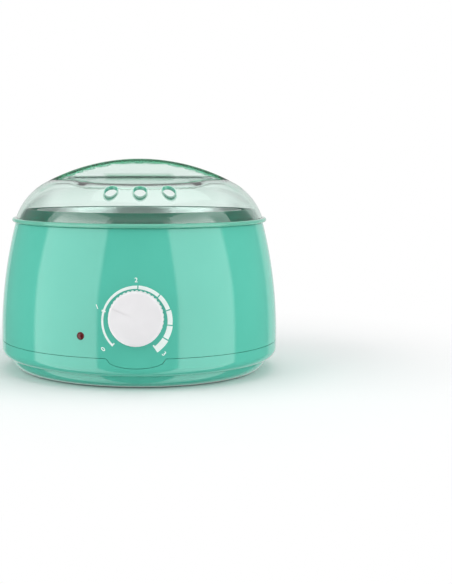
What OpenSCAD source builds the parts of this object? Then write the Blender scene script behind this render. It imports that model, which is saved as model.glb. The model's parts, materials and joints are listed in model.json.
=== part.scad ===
// Wax warmer for hair removal: a barrel-shaped plastic housing with a heated aluminium well, a lift-out
// wax pot, a clear tinted lid with an arched grip, and a dial thermostat with a pilot lamp.
// Millimetres, +Z up, origin on the vertical axis at the surface it stands on, dial towards -Y.

/* [Housing] */
// Widest diameter of the housing
body_d = 185; // [178:1:200]
// Height of the deck that the lid stands on
deck_h = 98.5; // [96:0.5:112]
// Height of the widest point of the side
belly_h = 22; // [21:0.5:30]
// Radius of the barrel curve of the side
barrel_r = 300; // [260:5:400]
// Wall thickness of the two housing mouldings
wall = 2.4; // [1.8:0.1:2.8]
// Height of the joint between the upper and the base moulding
seam_h = 20.3; // [19:0.1:20.8]
// Radius of the side where it rounds in to the foot
tuck_r = 6.4; // [5:0.2:8]
// How far the foot stands in from the widest point of the side
foot_step = 7; // [6.5:0.5:12]
// Height of the foot above its own underside
foot_h = 8.0; // [7:0.2:8.4]
// Half width of the tongue below the dial, at the joint
tongue_w = 18.3; // [12:0.1:24]
// Depth of the tongue below the joint
tongue_d = 5.8; // [3:0.1:6]

/* [Lid] */
// Height of the lid above the deck
lid_h = 41.6; // [39:0.1:44]
// Wall thickness of the lid
lid_wall = 1.9; // [1.5:0.1:2.4]
// How far the lid's foot stands in from the widest point of the side
lid_step = 10.15; // [10:0.05:11]
// How far the lid's rim bead stands out beyond its side
rim_step = 2.65; // [2:0.05:3]
// Thickness of the lid's rim bead
rim_t = 2.7; // [2:0.1:3.2]
// Radius of the arch along the top of the grip
arch_r = 132.6; // [125:0.2:145]
// Radius of the lid's rounded shoulder
shoulder_r = 40.8; // [39:0.1:42]
// Height of the crown beside the grip, above the deck
crown_h = 29.7; // [28:0.1:30.4]
// Width of the grip at its top
grip_top_w = 13; // [10:0.5:16]
// Width of the grip at its foot
grip_foot_w = 17; // [14:0.5:20]
// Slope of the finger recess's floor
recess_slope = 3.9; // [3:0.1:4.6]
// Half width of the finger recess
recess_w = 37; // [30:0.5:42]
// Diameter of a vent hole
vent_d = 7.9; // [5:0.1:9]
// How far the vent holes lie in from the lid's side
vent_in = 14.05; // [13.4:0.05:15.4]
// Angle between neighbouring vent holes
vent_step = 15.1; // [12:0.1:20]
// How far the lid is turned on the housing
lid_turn = 1.6; // [-20:0.2:20]

/* [Pot and well] */
// Room between the pot and the widest point of the side, for the heater and the thermostat
pot_room = 31; // [30.5:0.5:34]
// How far the pot's raised collar stands out beyond its side
collar_step = 7; // [6:0.25:7.5]
// Height of the pot's collar above the well flange
collar_h = 6.9; // [4:0.1:9]
// Depth of the pot below its collar
pot_depth = 55.5; // [48:0.5:56]
// Wall thickness of the pot
pot_wall = 1.2; // [0.8:0.1:1.6]
// Wall thickness of the heated well
well_wall = 1.5; // [1.2:0.1:2]

/* [Dial and lamp] */
// Height of the dial on the side
dial_h = 45.2; // [42:0.2:50]
// Diameter of the knob
knob_d = 33.6; // [30:0.2:36]
// How far the knob stands out from the side
knob_out = 12; // [10:0.5:15]
// Number of grip flutes round the knob
flutes = 40; // [24:1:48]
// Diameter of the thermostat shaft
shaft_d = 6; // [5:0.5:6]
// Where the knob points at rest, counted from the right hand side as seen from the front
pointer_at = 156; // [-54:1:227]
// Diameter of the pilot lamp's lens
lens_d = 4.8; // [4:0.1:6]
// Height of the pilot lamp
lamp_h = 33.4; // [30:0.2:38]
// Angle of the pilot lamp round the housing, left of the dial
lamp_at = 21.5; // [18:0.5:30]

/* [Base] */
// How far the rubber feet lie in from the widest point of the side
feet_in = 30.5; // [29:0.5:40]
// Diameter of a rubber foot
foot_pad_d = 12; // [8:0.5:14]
// How far a rubber foot stands out below the base
foot_out = 0.6; // [0.4:0.1:1.4]
// How far the housing screws lie in from the widest point of the side
screw_in = 24.5; // [23:0.5:26]
// Length of a housing screw under its head
housing_screw_l = 26; // [22:1:28]
// Diameter of the cord that the gland takes
cord_d = 6.8; // [5.5:0.1:7.2]

/* [Hidden] */
$fn = 64;

// Directions round the vertical axis
front = 270;
rear = 90;

// Clearances
seam_gap = 0.3;     // open line between the two mouldings
fit = 0.05;         // a shaft or a screw in its hole, on the radius
slip = 0.25;        // a piece that drops or slides into another
seat = 0.1;         // curved faces that lie on each other
lid_play = 0.5;     // the lid round the deck's register ring
pot_play = 0.8;     // the pot inside the well
eps = 0.01;

// Housing
body_r = body_d / 2;
foot_r = body_r - foot_step;
feet_ring_r = body_r - feet_in;
screw_ring_r = body_r - screw_in;
deck_t = 2.6;
deck_edge_r = 1.2;
side_steps = 18;
arc_steps = 8;
base_z = foot_out;
foot_top = base_z + foot_h;
tuck_z = foot_top + tuck_r;
floor_lift = 1.2;
floor_z = base_z + floor_lift;
floor_top = floor_z + wall;
land_in = foot_r - foot_h - 6;

// Well and pot heights, from the deck down
seal_t = 1.2;
flange_t = 1.3;
ledge_z = deck_h - seal_t;
flange_z = deck_h;
flange_top = flange_z + flange_t;
pot_r = body_r - pot_room;
collar_r = pot_r + collar_step;
pot_bottom = flange_top - pot_depth;
pot_top = flange_top + collar_h;
pot_round = 7;
well_in = pot_r + pot_play;
well_out = well_in + well_wall;
well_floor = pot_bottom - 0.3;
well_bottom = well_floor - well_wall;
well_round = 6;
flange_r = collar_r + 1.3;
opening_r = well_out + 1.2;
ledge_r = flange_r + 0.6;
skirt_drop = 6.5;
skirt_t = 1.8;

// Lid
lid_r = body_r - lid_step;
rim_r = lid_r + rim_step;
vent_ring_r = lid_r - vent_in;
arch_z = deck_h + lid_h - arch_r;
// Radius that the lid's foot gets when the arch hands over to the shoulder at an angle
function foot_for(a) = let (drop = lid_h - arch_r - rim_t + (arch_r - shoulder_r) * cos(a))
    (arch_r - shoulder_r) * sin(a) + sqrt(pow(shoulder_r, 2) - pow(drop, 2));
function join_for(low, high, n) = let (a = (low + high) / 2)
    n == 0 ? a : foot_for(a) < lid_r ? join_for(a, high, n - 1) : join_for(low, a, n - 1);
join_a = join_for(12, 40, 24);
grip_end_a = join_a - 2.5;                       // where the grip's arch turns down into the shoulder
grip_tip_a = join_a + 2;
grip_edge_r = 2.2;
shoulder_x = (arch_r - shoulder_r) * sin(join_a);
shoulder_z = arch_z + (arch_r - shoulder_r) * cos(join_a);
lid_in_r = lid_r - lid_wall;
register_r = lid_in_r - lid_play;
register_t = 1.8;
register_h = 8.5;                                // the neck that the lid fits over
register_arc = shoulder_r - lid_wall - lid_play;
register_a = asin((deck_h + register_h - shoulder_z) / register_arc);
register_top_r = shoulder_x + register_arc * cos(register_a);
crown_edge_r = 12;
crown_r = 900;
recess_in = 8;                                   // where a recess begins, from the lid's middle
recess_step = 0.2;                               // how deep it begins
gate_d = 4.8;
gate_h = 1.4;

// Dial, measured along the barrel's normal at the dial
dial_tilt = asin((dial_h - belly_h) / barrel_r);
dial_y = barrel_at(dial_h);
spot_d = 16;
spot_deep = 0.4;
pad_d = 22;
pad_in = 3.8;                                    // inner face of the pad behind the dial
bush_r = 4.5;
nut_t = 2.0;
knob_gap = 0.9;
knob_draft = 0.4;
knob_face_t = 2.0;
knob_wall = 1.8;
hub_r = 5.6;
knob_rib_h = 3;
hub_gap = 0.5;
flute_r = 0.8;
shaft_flat = 0.22 * shaft_d;
stat_r = 12;
stat_t = 10;
stat_front = pad_in + 0.1;
plate_t = 1.2;

// Lamp
lens_r = lens_d / 2;
lens_out = 1.1;
lens_collar = 1.0;
neon_r = lens_r - 0.8;
neon_l = 11;

// Fastenings
boss_r = 4.2;
pilot_r = 1.75;
boss_top = well_bottom - 3;
post_top = 24;
head_r = 3.4;
head_h = 2.2;
head_z = 8;
screw_at = [20, 160, 200, 340];
feet_at = [45, 135, 225, 315];
bracket_at = [rear, 210, 330];
bracket_boss_r = 3.5;
bracket_ring = ledge_r + 5;
bracket_boss_z = deck_h - 10.5;
bracket_w = 12;
bracket_t = 1.2;
stud_r = 2;
nut_r = 3.6;
stud_nut_t = 3.2;
arm_t = 1.2;
arm_w = 10;
arm_y = pot_r - 15.5;                            // stud that holds the sensing arm, towards the front
clip_y = 32;                                     // stud that holds the fuse clip, towards the rear
fuse_y = 23;
fuse_r = 2.1;
fuse_l = 12;
clip_t = 0.6;
clip_w = 8;

// Heater and insulation
band_in = well_out + seat;
band_t = 1.6;
band_low = well_bottom + 7.5;
band_high = band_low + 26;
band_gap_a = 3;
ear_w = 7.5;
ear_t = 1.2;
ear_low = band_low + 8;
ear_high = band_high - 8;
band_grip = (band_in + band_t + ear_w / 2) * sin(band_gap_a) + ear_t;   // half the grip of the ears' screw
sleeve_in = band_in + band_t + seat;
sleeve_t = 4;
sleeve_low = band_low - 4;
sleeve_high = bracket_boss_z - 12;

// Cord entry at the rear, on the joint
cord_r = cord_d / 2;
gland_bore = cord_r + 0.1;
gland_neck = 4.5;                                // half the side of the square neck, which can't turn in the joint
gland_tail_r = 5;
gland_flange = 7;
gland_flange_t = 2.6;
gland_tail = 7;
lip_t = 1.5;                                     // the lip inside the joint
gland_in = body_r - wall - slip - lip_t - 0.6;   // outer face of the gland's inner flange
clamp_l = 26;
clamp_w = 8;
clamp_y = gland_in - gland_tail - clamp_w / 2 - 4.75;
clamp_t = 5;
clamp_screw_x = 9;

// Terminal block
block = [26, 17, 12];
block_y = clamp_y - 22;
wire_r = 1;
bend_r = 4;

// Radius of the outer side at a height, and of the same curve moved inwards
function barrel_at(z, off = 0) =
    body_r - barrel_r + sqrt(pow(barrel_r - off, 2) - pow(max(z - belly_h, 0), 2));
function arc(cx, cy, r, a0, a1, n) =
    [for (i = [0:n]) [cx + r * cos(a0 + (a1 - a0) * i / n), cy + r * sin(a0 + (a1 - a0) * i / n)]];
function side(off, z0, z1, n) =
    [for (i = [0:n]) let (z = z0 + (z1 - z0) * i / n) [barrel_at(z, off), z]];

// Places children at an angle round the vertical axis, facing outwards along their own +X
module round_at(a, r = 0) rotate([0, 0, a]) translate([r, 0, 0]) children();

// Places children on the dial's axis: +Z outwards, +Y up along the side
module at_dial() translate([0, -dial_y, dial_h]) rotate([90 - dial_tilt, 0, 0]) children();

// Places children on the lamp's axis: +Z outwards
module at_lamp()
    rotate([0, 0, front - lamp_at]) translate([barrel_at(lamp_h), 0, lamp_h]) rotate([0, 90, 0]) children();

module tube(ro, ri, h) {
    difference() {
        cylinder(h = h, r = ro);
        translate([0, 0, -1]) cylinder(h = h + 2, r = ri);
    }
}

// The tongue's outline seen from the front, moved outwards by a gap: half an ellipse that runs out
// into the joint with small round corners
function tongue_z(t, d) = let (k = min((1 - abs(t)) / 0.12, 1)) seam_h - d * sqrt(1 - t * t) * k * k * (3 - 2 * k);
module tongue_shape(gap) {
    w = tongue_w + gap;
    n = 18;
    polygon(concat(
        [[-w, seam_h + 1]],
        [for (i = [0:n]) let (t = -cos(180 * i / n)) [w * t, tongue_z(t, tongue_d + gap)]],
        [[w, seam_h + 1]]
    ));
}

module tongue_prism(gap)
    rotate([90, 0, 0]) linear_extrude(height = body_r + 5) tongue_shape(gap);

// Outer skin of the base below the joint, as a revolved outline that ends at a height
function base_outline(off, top) = concat(
    [[0, base_z + off]],
    [[foot_r - foot_h, base_z + off]],
    arc(foot_r - foot_h, base_z + foot_h, foot_h - off, -90, 0, arc_steps),
    [[foot_r - off, foot_top + off]],
    [[body_r - tuck_r, foot_top + off]],
    arc(body_r - tuck_r, tuck_z, tuck_r - off, -90, 0, arc_steps),
    [[body_r - off, top]],
    [[0, top]]
);

module lower_skin(off, top) rotate_extrude() polygon(base_outline(off, top));

module upper_housing() {
    lip = seam_h + seam_gap / 2;
    top_r = barrel_at(deck_h - deck_edge_r);
    color("mediumaquamarine") difference() {
        union() {
            rotate_extrude() polygon(concat(
                [[body_r - wall, lip]],
                side(0, lip, deck_h - deck_edge_r, side_steps),
                arc(top_r - deck_edge_r, deck_h - deck_edge_r, deck_edge_r, 15, 90, 4),
                [[register_r, deck_h]],
                arc(shoulder_x, shoulder_z, register_arc, asin((deck_h + rim_t - shoulder_z) / register_arc), register_a, 4),
                [[register_top_r - register_t, deck_h + register_h], [register_r - register_t, deck_h]],
                [[ledge_r, deck_h], [ledge_r, ledge_z], [opening_r, ledge_z]],
                [[opening_r, deck_h - skirt_drop], [opening_r + skirt_t, deck_h - skirt_drop]],
                [[opening_r + skirt_t, deck_h - deck_t - 0.4], [ledge_r + 1, deck_h - deck_t]],
                side(wall, deck_h - deck_t, lip, side_steps)
            ));
            // The tongue that hangs down into the base
            intersection() {
                difference() {
                    lower_skin(0, lip + 0.5);
                    lower_skin(wall, lip + 2);
                }
                tongue_prism(0);
            }
            // Flat pad behind the dial and round boss behind the lamp
            intersection() {
                union() {
                    at_dial() translate([0, 0, -pad_in]) cylinder(h = pad_in, d = pad_d);
                    at_lamp() translate([0, 0, -wall - 2]) cylinder(h = wall + 2, r = lens_r + 2.2);
                }
                rotate_extrude() polygon(concat([[0, lip]], side(0.4, lip, 80, side_steps), [[0, 80]]));
            }
            for (a = screw_at) screw_boss(a);
            for (a = bracket_at) round_at(a, bracket_ring)
                translate([0, 0, bracket_boss_z]) cylinder(h = ledge_z - bracket_boss_z, r = bracket_boss_r);
        }
        at_dial() translate([0, 0, -pad_in - 1]) cylinder(h = pad_in + 3, r = bush_r + 0.15);
        at_dial() translate([0, 0, -spot_deep]) cylinder(h = 3, d = spot_d);
        at_lamp() translate([0, 0, -8]) cylinder(h = 12, r = lens_r + fit);
        for (a = screw_at) round_at(a, screw_ring_r)
            translate([0, 0, post_top - 1]) cylinder(h = head_z + head_h + housing_screw_l + 1.5 - post_top, r = pilot_r + fit);
        for (a = bracket_at) round_at(a, bracket_ring)
            translate([0, 0, bracket_boss_z - 1]) cylinder(h = 8, r = 1.45 + fit);
        gland_square(gland_in - 1, 10, slip);
    }
}

// Boss for a housing screw, carried by a web from the side wall
module screw_boss(a) {
    web_t = 2.2;
    reach = body_r - wall;
    round_at(a, screw_ring_r) translate([0, 0, post_top]) cylinder(h = boss_top - post_top, r = boss_r);
    rotate([0, 0, a]) rotate([90, 0, 0]) translate([0, 0, -web_t / 2]) linear_extrude(height = web_t)
        polygon([
            [screw_ring_r + 2.5, post_top], [reach + 0.6, post_top], [barrel_at(62) - wall + 0.6, 62],
            [sleeve_in + sleeve_t + 5, boss_top + 6], [screw_ring_r + 2.5, boss_top]
        ]);
}

module base_housing() {
    rim = seam_h - seam_gap / 2;
    post_r = 4.6;
    well_r = head_r + 0.4;
    lip_out = body_r - wall - slip;
    color("mediumaquamarine") difference() {
        union() {
            difference() {
                lower_skin(0, rim);
                // Hollow above the floor
                rotate_extrude() polygon(concat(
                    [[0, floor_top], [foot_r - foot_h, floor_top]],
                    arc(foot_r - foot_h, base_z + foot_h, foot_h - wall, -60, 0, arc_steps),
                    [[foot_r - wall, foot_top + wall], [body_r - tuck_r, foot_top + wall]],
                    arc(body_r - tuck_r, tuck_z, tuck_r - wall, -90, 0, arc_steps),
                    [[body_r - wall, rim + 1], [0, rim + 1]]
                ));
                // Underside raised inside the standing ring
                translate([0, 0, -1]) cylinder(h = floor_z + 1, r = land_in);
            }
            // Lip inside the joint
            translate([0, 0, tuck_z]) tube(lip_out, lip_out - lip_t, seam_h + 3 - tuck_z);
            translate([0, 0, tuck_z - 0.5]) tube(body_r - wall + 0.3, lip_out - lip_t, 2.2);
            for (a = screw_at) round_at(a, screw_ring_r) translate([0, 0, floor_z]) {
                cylinder(h = post_top - floor_z, r = post_r);
                cylinder(h = head_z + 2 - floor_z, r = well_r + 1.6);
            }
            for (a = feet_at) round_at(a, feet_ring_r)
                translate([0, 0, base_z]) cylinder(h = wall, d = foot_pad_d + 4);
            base_ribs();
            // Saddle that the cord lies in, and posts under the terminal block
            translate([-clamp_l / 2, clamp_y - clamp_w / 2, floor_top - 0.5])
                cube([clamp_l, clamp_w, seam_h - floor_top + 0.4]);
            for (x = [-1, 1]) translate([x * 8, block_y, floor_top - 0.5]) cylinder(h = 2.5, r = 3);
        }
        // Screw wells from below
        for (a = screw_at) round_at(a, screw_ring_r) {
            translate([0, 0, -1]) cylinder(h = head_z + 1, r = well_r);
            cylinder(h = post_top + 1, r = pilot_r + 0.3);
        }
        for (a = feet_at) round_at(a, feet_ring_r) translate([0, 0, -1]) cylinder(h = floor_z + 1, d = foot_pad_d + 2 * slip);
        tongue_prism(seam_gap);
        vent_slots();
        gland_square(gland_in - 1, 10, slip);
        translate([0, clamp_y - clamp_w, seam_h]) rotate([-90, 0, 0]) cylinder(h = 2 * clamp_w, r = cord_r);
        for (x = [-1, 1]) translate([x * clamp_screw_x, clamp_y, floor_top + 2]) cylinder(h = 20, r = 1.45 + fit);
    }
}

// Ring rib and radial ribs on the floor, kept clear of the block and the cord
module base_ribs() {
    rib_t = 1.8;
    rib_h = 4;
    translate([0, 0, floor_top - 0.5]) tube(24, 24 - rib_t, rib_h + 1);
    for (a = [0:30:330]) if (a != rear) rotate([0, 0, a])
        translate([23, -rib_t / 2, floor_top - 0.5]) cube([foot_r - foot_h - 23, rib_t, rib_h]);
}

// Two rings of ventilation slots in the floor
module vent_slots() {
    slot_w = 3;
    slot_l = 11;
    for (r = [30, 46], a = [15:30:345]) if (r < 40 || a % 90 != 45) rotate([0, 0, a]) translate([r, 0, -1]) {
        translate([0, -slot_w / 2, 0]) cube([slot_l, slot_w, floor_top + 2]);
        for (x = [0, slot_l]) translate([x, 0, 0]) cylinder(h = floor_top + 2, d = slot_w);
    }
}

// The lid's dome: crown, a soft edge and the shoulder, all moved inwards by an offset
module lid_dome(off, low) {
    edge = crown_edge_r - off;
    ball_r = crown_r - off;
    ball_z = deck_h + crown_h - crown_r;
    // Centre of the edge's arc, which touches the crown's sphere and the shoulder's arc
    d_ball = ball_r - edge;
    d_arc = shoulder_r - off - edge;
    gap_z = shoulder_z - ball_z;
    gap = sqrt(pow(shoulder_x, 2) + pow(gap_z, 2));
    along = (pow(d_ball, 2) - pow(d_arc, 2) + pow(gap, 2)) / (2 * gap);
    across = sqrt(pow(d_ball, 2) - pow(along, 2));
    ex = (along * shoulder_x + across * gap_z) / gap;
    ez = ball_z + (along * gap_z - across * shoulder_x) / gap;
    a_ball = atan2(ez - ball_z, ex);
    a_arc = atan2(ez - shoulder_z, ex - shoulder_x);
    a_foot = asin((deck_h + rim_t - shoulder_z) / (shoulder_r - off));
    rotate_extrude() polygon(concat(
        [[0, low], [lid_r - off, low]],
        arc(shoulder_x, shoulder_z, shoulder_r - off, a_foot, a_arc, 12),
        arc(ex, ez, edge, a_arc, a_ball, 4),
        arc(0, ball_z, ball_r, a_ball, 90, 3)
    ));
}

// The arched grip: a slab with drafted sides under the arch, its upper edges rounded
module lid_grip(off) {
    top = arch_r - off;
    top_z = arch_z + top;
    half_top = grip_top_w / 2 - off;
    half_foot = grip_foot_w / 2 - off;
    foot_z = deck_h + crown_h;
    end_z = arch_z + top * cos(grip_end_a);
    draft = (half_foot - half_top) / (top_z - foot_z);
    low_z = end_z - 5;
    // The end of the arch sinks into the shoulder
    tip_r = shoulder_r - off - 0.6;
    tip_x = shoulder_x + tip_r * sin(grip_tip_a);
    below = half_foot + draft * (foot_z - low_z);
    above = half_top - draft * 2;
    e = grip_edge_r;
    // The edge's rounding, seen along the arch
    cut = [for (a = [15:20:75]) [top - e + e * cos(a), half_top - e + e * sin(a)]];
    first = cut[0] + 1.5 * (cut[0] - cut[1]);
    last = cut[3] + 2.5 * (cut[3] - cut[2]);
    difference() {
        intersection() {
            rotate([90, 0, 90]) translate([0, 0, -rim_r]) linear_extrude(height = 2 * rim_r)
                polygon([[-below, low_z], [below, low_z], [above, top_z + 2], [-above, top_z + 2]]);
            rotate_extrude() polygon(concat(
                [[0, end_z - 8], [tip_x, end_z - 8], [tip_x, shoulder_z + tip_r * cos(grip_tip_a)]],
                arc(0, arch_z, top, 90 - grip_end_a, 89.6, 10),
                [[0, arch_z + top * sin(89.6)]]
            ));
        }
        if (off == 0) translate([0, 0, arch_z]) for (s = [90, -90]) rotate([s, 0, 0])
            rotate_extrude() polygon(concat(
                [[top + 3, first[1]], first], cut, [last, [last[0], half_top + 3], [top + 3, half_top + 3]]
            ));
    }
}

// What the fingers' recesses take away in front of the grip and behind it, moved by an offset
module recess_cut(off) {
    w = recess_w + off;
    for (s = [0, 180]) rotate([0, 0, s])
        translate([0, -recess_in + off, deck_h + crown_h - recess_step - off / cos(recess_slope)])
            rotate([recess_slope, 0, 0]) translate([-w, -rim_r, 0]) cube([2 * w, rim_r, 20]);
}

module lid_skin(off, low) {
    union() {
        difference() {
            lid_dome(off, low);
            recess_cut(off);
        }
        lid_grip(off);
    }
}

module lid() {
    bead = rim_t / 2;
    color("paleturquoise", 0.5) rotate([0, 0, lid_turn]) union() {
        difference() {
            union() {
                lid_skin(0, deck_h);
                // Rim bead that stands on the deck
                rotate_extrude() union() {
                    translate([lid_in_r, deck_h]) square([rim_r - bead - lid_in_r, rim_t]);
                    translate([rim_r - bead, deck_h + bead]) circle(r = bead);
                }
            }
            lid_skin(lid_wall, deck_h - 1);
            for (i = [-1:1]) round_at(front + i * vent_step, vent_ring_r)
                translate([0, 0, deck_h + 10]) cylinder(h = 40, d = vent_d);
        }
        // Moulding gate under the middle of the arch
        translate([0, 0, deck_h + lid_h - lid_wall - gate_h]) cylinder(h = gate_h + 0.6, d = gate_d);
    }
}

module wax_pot() {
    shoulder = flange_top + pot_wall;
    in_r = pot_r - pot_wall;
    lip = 0.6;
    color("silver") rotate_extrude() polygon(concat(
        [[0, pot_bottom]],
        arc(pot_r - pot_round, pot_bottom + pot_round, pot_round, -90, 0, arc_steps),
        [[pot_r, flange_top], [collar_r, flange_top], [collar_r, pot_top - lip]],
        arc(collar_r - lip, pot_top - lip, lip, 0, 180, 6),
        [[collar_r - pot_wall, shoulder], [in_r, shoulder]],
        arc(pot_r - pot_round, pot_bottom + pot_round, pot_round - pot_wall, 0, -90, arc_steps),
        [[0, pot_bottom + pot_wall]]
    ));
}

module heating_well() {
    color("lightgray") union() {
        rotate_extrude() polygon(concat(
            [[0, well_bottom]],
            arc(well_out - well_round, well_bottom + well_round, well_round, -90, 0, arc_steps),
            [[well_out, flange_z], [flange_r, flange_z], [flange_r, flange_top], [well_in, flange_top]],
            arc(well_out - well_round, well_bottom + well_round, well_round - well_wall, 0, -90, arc_steps),
            [[0, well_floor]]
        ));
        for (y = [-arm_y, clip_y]) translate([0, y, well_bottom - arm_t - stud_nut_t - 1.5])
            cylinder(h = arm_t + stud_nut_t + 2, r = stud_r);
    }
}

module well_seal() {
    color("dimgray") translate([0, 0, ledge_z]) tube(flange_r - 0.2, opening_r + 0.6, seal_t);
}

// Angle brackets under the deck that hold the well's flange down on its seal
module well_brackets() {
    leg_z = sleeve_high + 1.5;
    half_a = asin(bracket_w / 2 / (well_out + seat));
    color("gainsboro") for (a = bracket_at) rotate([0, 0, a]) difference() {
        union() {
            rotate([0, 0, -half_a]) translate([0, 0, leg_z]) rotate_extrude(angle = 2 * half_a)
                translate([well_out + seat, 0]) square([bracket_t, bracket_boss_z - leg_z]);
            translate([well_out + seat + 0.3, -bracket_w / 2, bracket_boss_z - bracket_t])
                cube([bracket_ring + 4.5 - well_out - seat - 0.3, bracket_w, bracket_t]);
        }
        translate([bracket_ring, 0, leg_z]) cylinder(h = 20, r = 1.7);
        translate([0, 0, leg_z - 1]) cylinder(h = 30, r = well_out + seat);
    }
}

module pan_screw(l, r, head_r, head_h) {
    cylinder(h = l, r = r);
    translate([0, 0, -head_h]) difference() {
        cylinder(h = head_h, r = head_r);
        for (a = [0, 90]) rotate([0, 0, a]) translate([-head_r * 0.6, -0.4, -1]) cube([head_r * 1.2, 0.8, 2]);
    }
}

module bracket_screws() {
    color("silver") for (a = bracket_at) round_at(a, bracket_ring)
        translate([0, 0, bracket_boss_z - bracket_t]) pan_screw(7, 1.45, 2.8, 1.8);
}

// Mica band heater, split at the rear with two ears, and with two terminals at its lower edge
module heater_band() {
    color("burlywood") difference() {
        union() {
            rotate([0, 0, rear + band_gap_a]) rotate_extrude(angle = 360 - 2 * band_gap_a)
                translate([band_in, band_low]) square([band_t, band_high - band_low]);
            for (s = [-1, 1]) rotate([0, 0, rear]) rotate([0, 0, s * band_gap_a])
                translate([band_in + 0.2, s > 0 ? 0 : -ear_t, ear_low]) cube([band_t + ear_w, ear_t, ear_high - ear_low]);
            for (a = [rear - 35, rear + 35]) rotate([0, 0, a])
                translate([band_in + 0.2, -3, band_low - 7]) cube([0.8, 6, 9]);
        }
        translate([-10, band_in + band_t + ear_w / 2, (ear_low + ear_high) / 2])
            rotate([0, 90, 0]) cylinder(h = 20, r = 1.7);
    }
}

// Screw and nut that draw the band's ears together
module band_screw() {
    grip = band_grip;
    color("silver") translate([0, band_in + band_t + ear_w / 2, (ear_low + ear_high) / 2]) rotate([0, 90, 0]) {
        translate([0, 0, -grip - 0.3]) pan_screw(2 * grip + 4.5, 1.5, 2.8, 1.8);
        translate([0, 0, grip + 0.3]) difference() {
            cylinder(h = 2.4, r = 3, $fn = 6);
            translate([0, 0, -1]) cylinder(h = 5, r = 1.5 + fit);
        }
    }
}

module insulation_sleeve() {
    color("beige") difference() {
        translate([0, 0, sleeve_low]) tube(sleeve_in + sleeve_t, sleeve_in, sleeve_high - sleeve_low);
        // Window for the band's ears and their screw
        translate([-band_grip - 6, sleeve_in - 4, ear_low - 2])
            cube([2 * band_grip + 12, sleeve_t + 8, ear_high - ear_low + 4]);
    }
}

// Steel plate behind the thermostat with an arm that senses the well's floor
module thermostat_bracket() {
    back = stat_front + stat_t;
    arm_z = well_bottom - arm_t;
    plate_y = -dial_y + back + plate_t;
    // Height from the dial's axis to the arm, and where the tilted plate stands there
    reach = arm_z - dial_h;
    start_y = plate_y - 1 + reach * sin(dial_tilt);
    color("gainsboro") difference() {
        union() {
            at_dial() translate([0, 0, -back - plate_t]) {
                intersection() {
                    cylinder(h = plate_t, r = stat_r - 1);
                    translate([-8, -20, -1]) cube([16, 40, plate_t + 2]);
                }
                translate([-arm_w / 2, min(reach, -1), 0]) cube([arm_w, max(abs(reach), 1), plate_t]);
            }
            translate([-arm_w / 2, start_y, arm_z]) cube([arm_w, -arm_y - start_y + 6, arm_t]);
        }
        translate([0, -arm_y, arm_z - 1]) cylinder(h = arm_t + 2, r = stud_r + 0.2);
    }
}

// Adjustable bimetal thermostat: ceramic body, threaded bush through the housing, two tabs below
module thermostat_body() {
    color("tan") at_dial() difference() {
        union() {
            translate([0, 0, -stat_front - stat_t]) cylinder(h = stat_t, r = stat_r);
            translate([0, 0, -stat_front - 1]) cylinder(h = stat_front + 1 + nut_t + 0.8, r = bush_r);
            for (x = [-7, 7]) translate([x - 2.4, -stat_r - 5, -stat_front - 7]) cube([4.8, 8, 0.8]);
        }
        translate([0, 0, -stat_front - stat_t + 2]) cylinder(h = stat_t + stat_front + 12, r = shaft_d / 2 + fit);
    }
}

module thermostat_nut() {
    color("gold") at_dial() translate([0, 0, -spot_deep]) difference() {
        cylinder(h = nut_t, r = 7, $fn = 6);
        translate([0, 0, -1]) cylinder(h = nut_t + 2, r = bush_r + fit);
    }
}

// Cross-section of the shaft or of its bore in the knob, with a flat
module d_shape(r) {
    difference() {
        circle(r = r);
        translate([shaft_d / 2 - shaft_flat + r - shaft_d / 2, -r - 1]) square([r, 2 * r + 2]);
    }
}

module thermostat_shaft() {
    low = -stat_front - stat_t + 2.3;
    flat_from = nut_t + 1.4;
    color("goldenrod") at_dial() rotate([0, 0, pointer_at]) union() {
        translate([0, 0, low]) cylinder(h = flat_from - low, r = shaft_d / 2);
        translate([0, 0, flat_from]) linear_extrude(height = knob_out - knob_face_t - flat_from - 0.3)
            d_shape(shaft_d / 2);
    }
}

module control_knob() {
    r = knob_d / 2;
    top = knob_out;
    round_r = 1.2;
    inside = top - knob_face_t;
    hub_low = nut_t + 1.8;
    color("whitesmoke") at_dial() rotate([0, 0, pointer_at]) difference() {
        union() {
            difference() {
                rotate_extrude() polygon(concat(
                    [[0, knob_gap], [r, knob_gap]],
                    arc(r - knob_draft - round_r, top - round_r, round_r, 0, 90, 4),
                    [[0, top]]
                ));
                translate([0, 0, knob_gap - 1]) cylinder(h = inside - knob_gap + 1, r = r - knob_wall);
            }
            translate([0, 0, hub_low]) cylinder(h = inside - hub_low + 0.5, r = hub_r);
            for (a = [45:90:315]) rotate([0, 0, a]) translate([hub_r - 1, -0.6, inside - knob_rib_h])
                cube([r - knob_wall - hub_r + 1.5, 1.2, knob_rib_h + 0.4]);
        }
        translate([0, 0, hub_low - 1]) linear_extrude(height = inside - hub_low + 1) d_shape(shaft_d / 2 + fit);
        for (i = [0:flutes - 1]) rotate([0, 0, 360 * i / flutes])
            translate([r + flute_r * 0.35, 0, knob_gap - 1]) cylinder(h = top + 1, r = flute_r);
        // Pointer groove on the face
        translate([3.5, -0.45, top - 0.35]) cube([r - 5, 0.9, 1]);
    }
}

// Split spring ring that grips the knob's hub on the shaft
module knob_spring() {
    color("silver") at_dial() translate([0, 0, nut_t + 2.4]) rotate([0, 0, pointer_at + 20])
        rotate_extrude(angle = 320) translate([hub_r + fit, 0])
            square([0.6, knob_out - knob_face_t - knob_rib_h - 0.2 - nut_t - 2.4]);
}

module stud_nuts() {
    color("silver") for (s = [[-arm_y, arm_t], [clip_y, clip_t]])
        translate([0, s[0], well_bottom - s[1] - stud_nut_t]) difference() {
            cylinder(h = stud_nut_t, r = nut_r, $fn = 6);
            translate([0, 0, -1]) cylinder(h = stud_nut_t + 2, r = stud_r + fit);
        }
}

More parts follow.
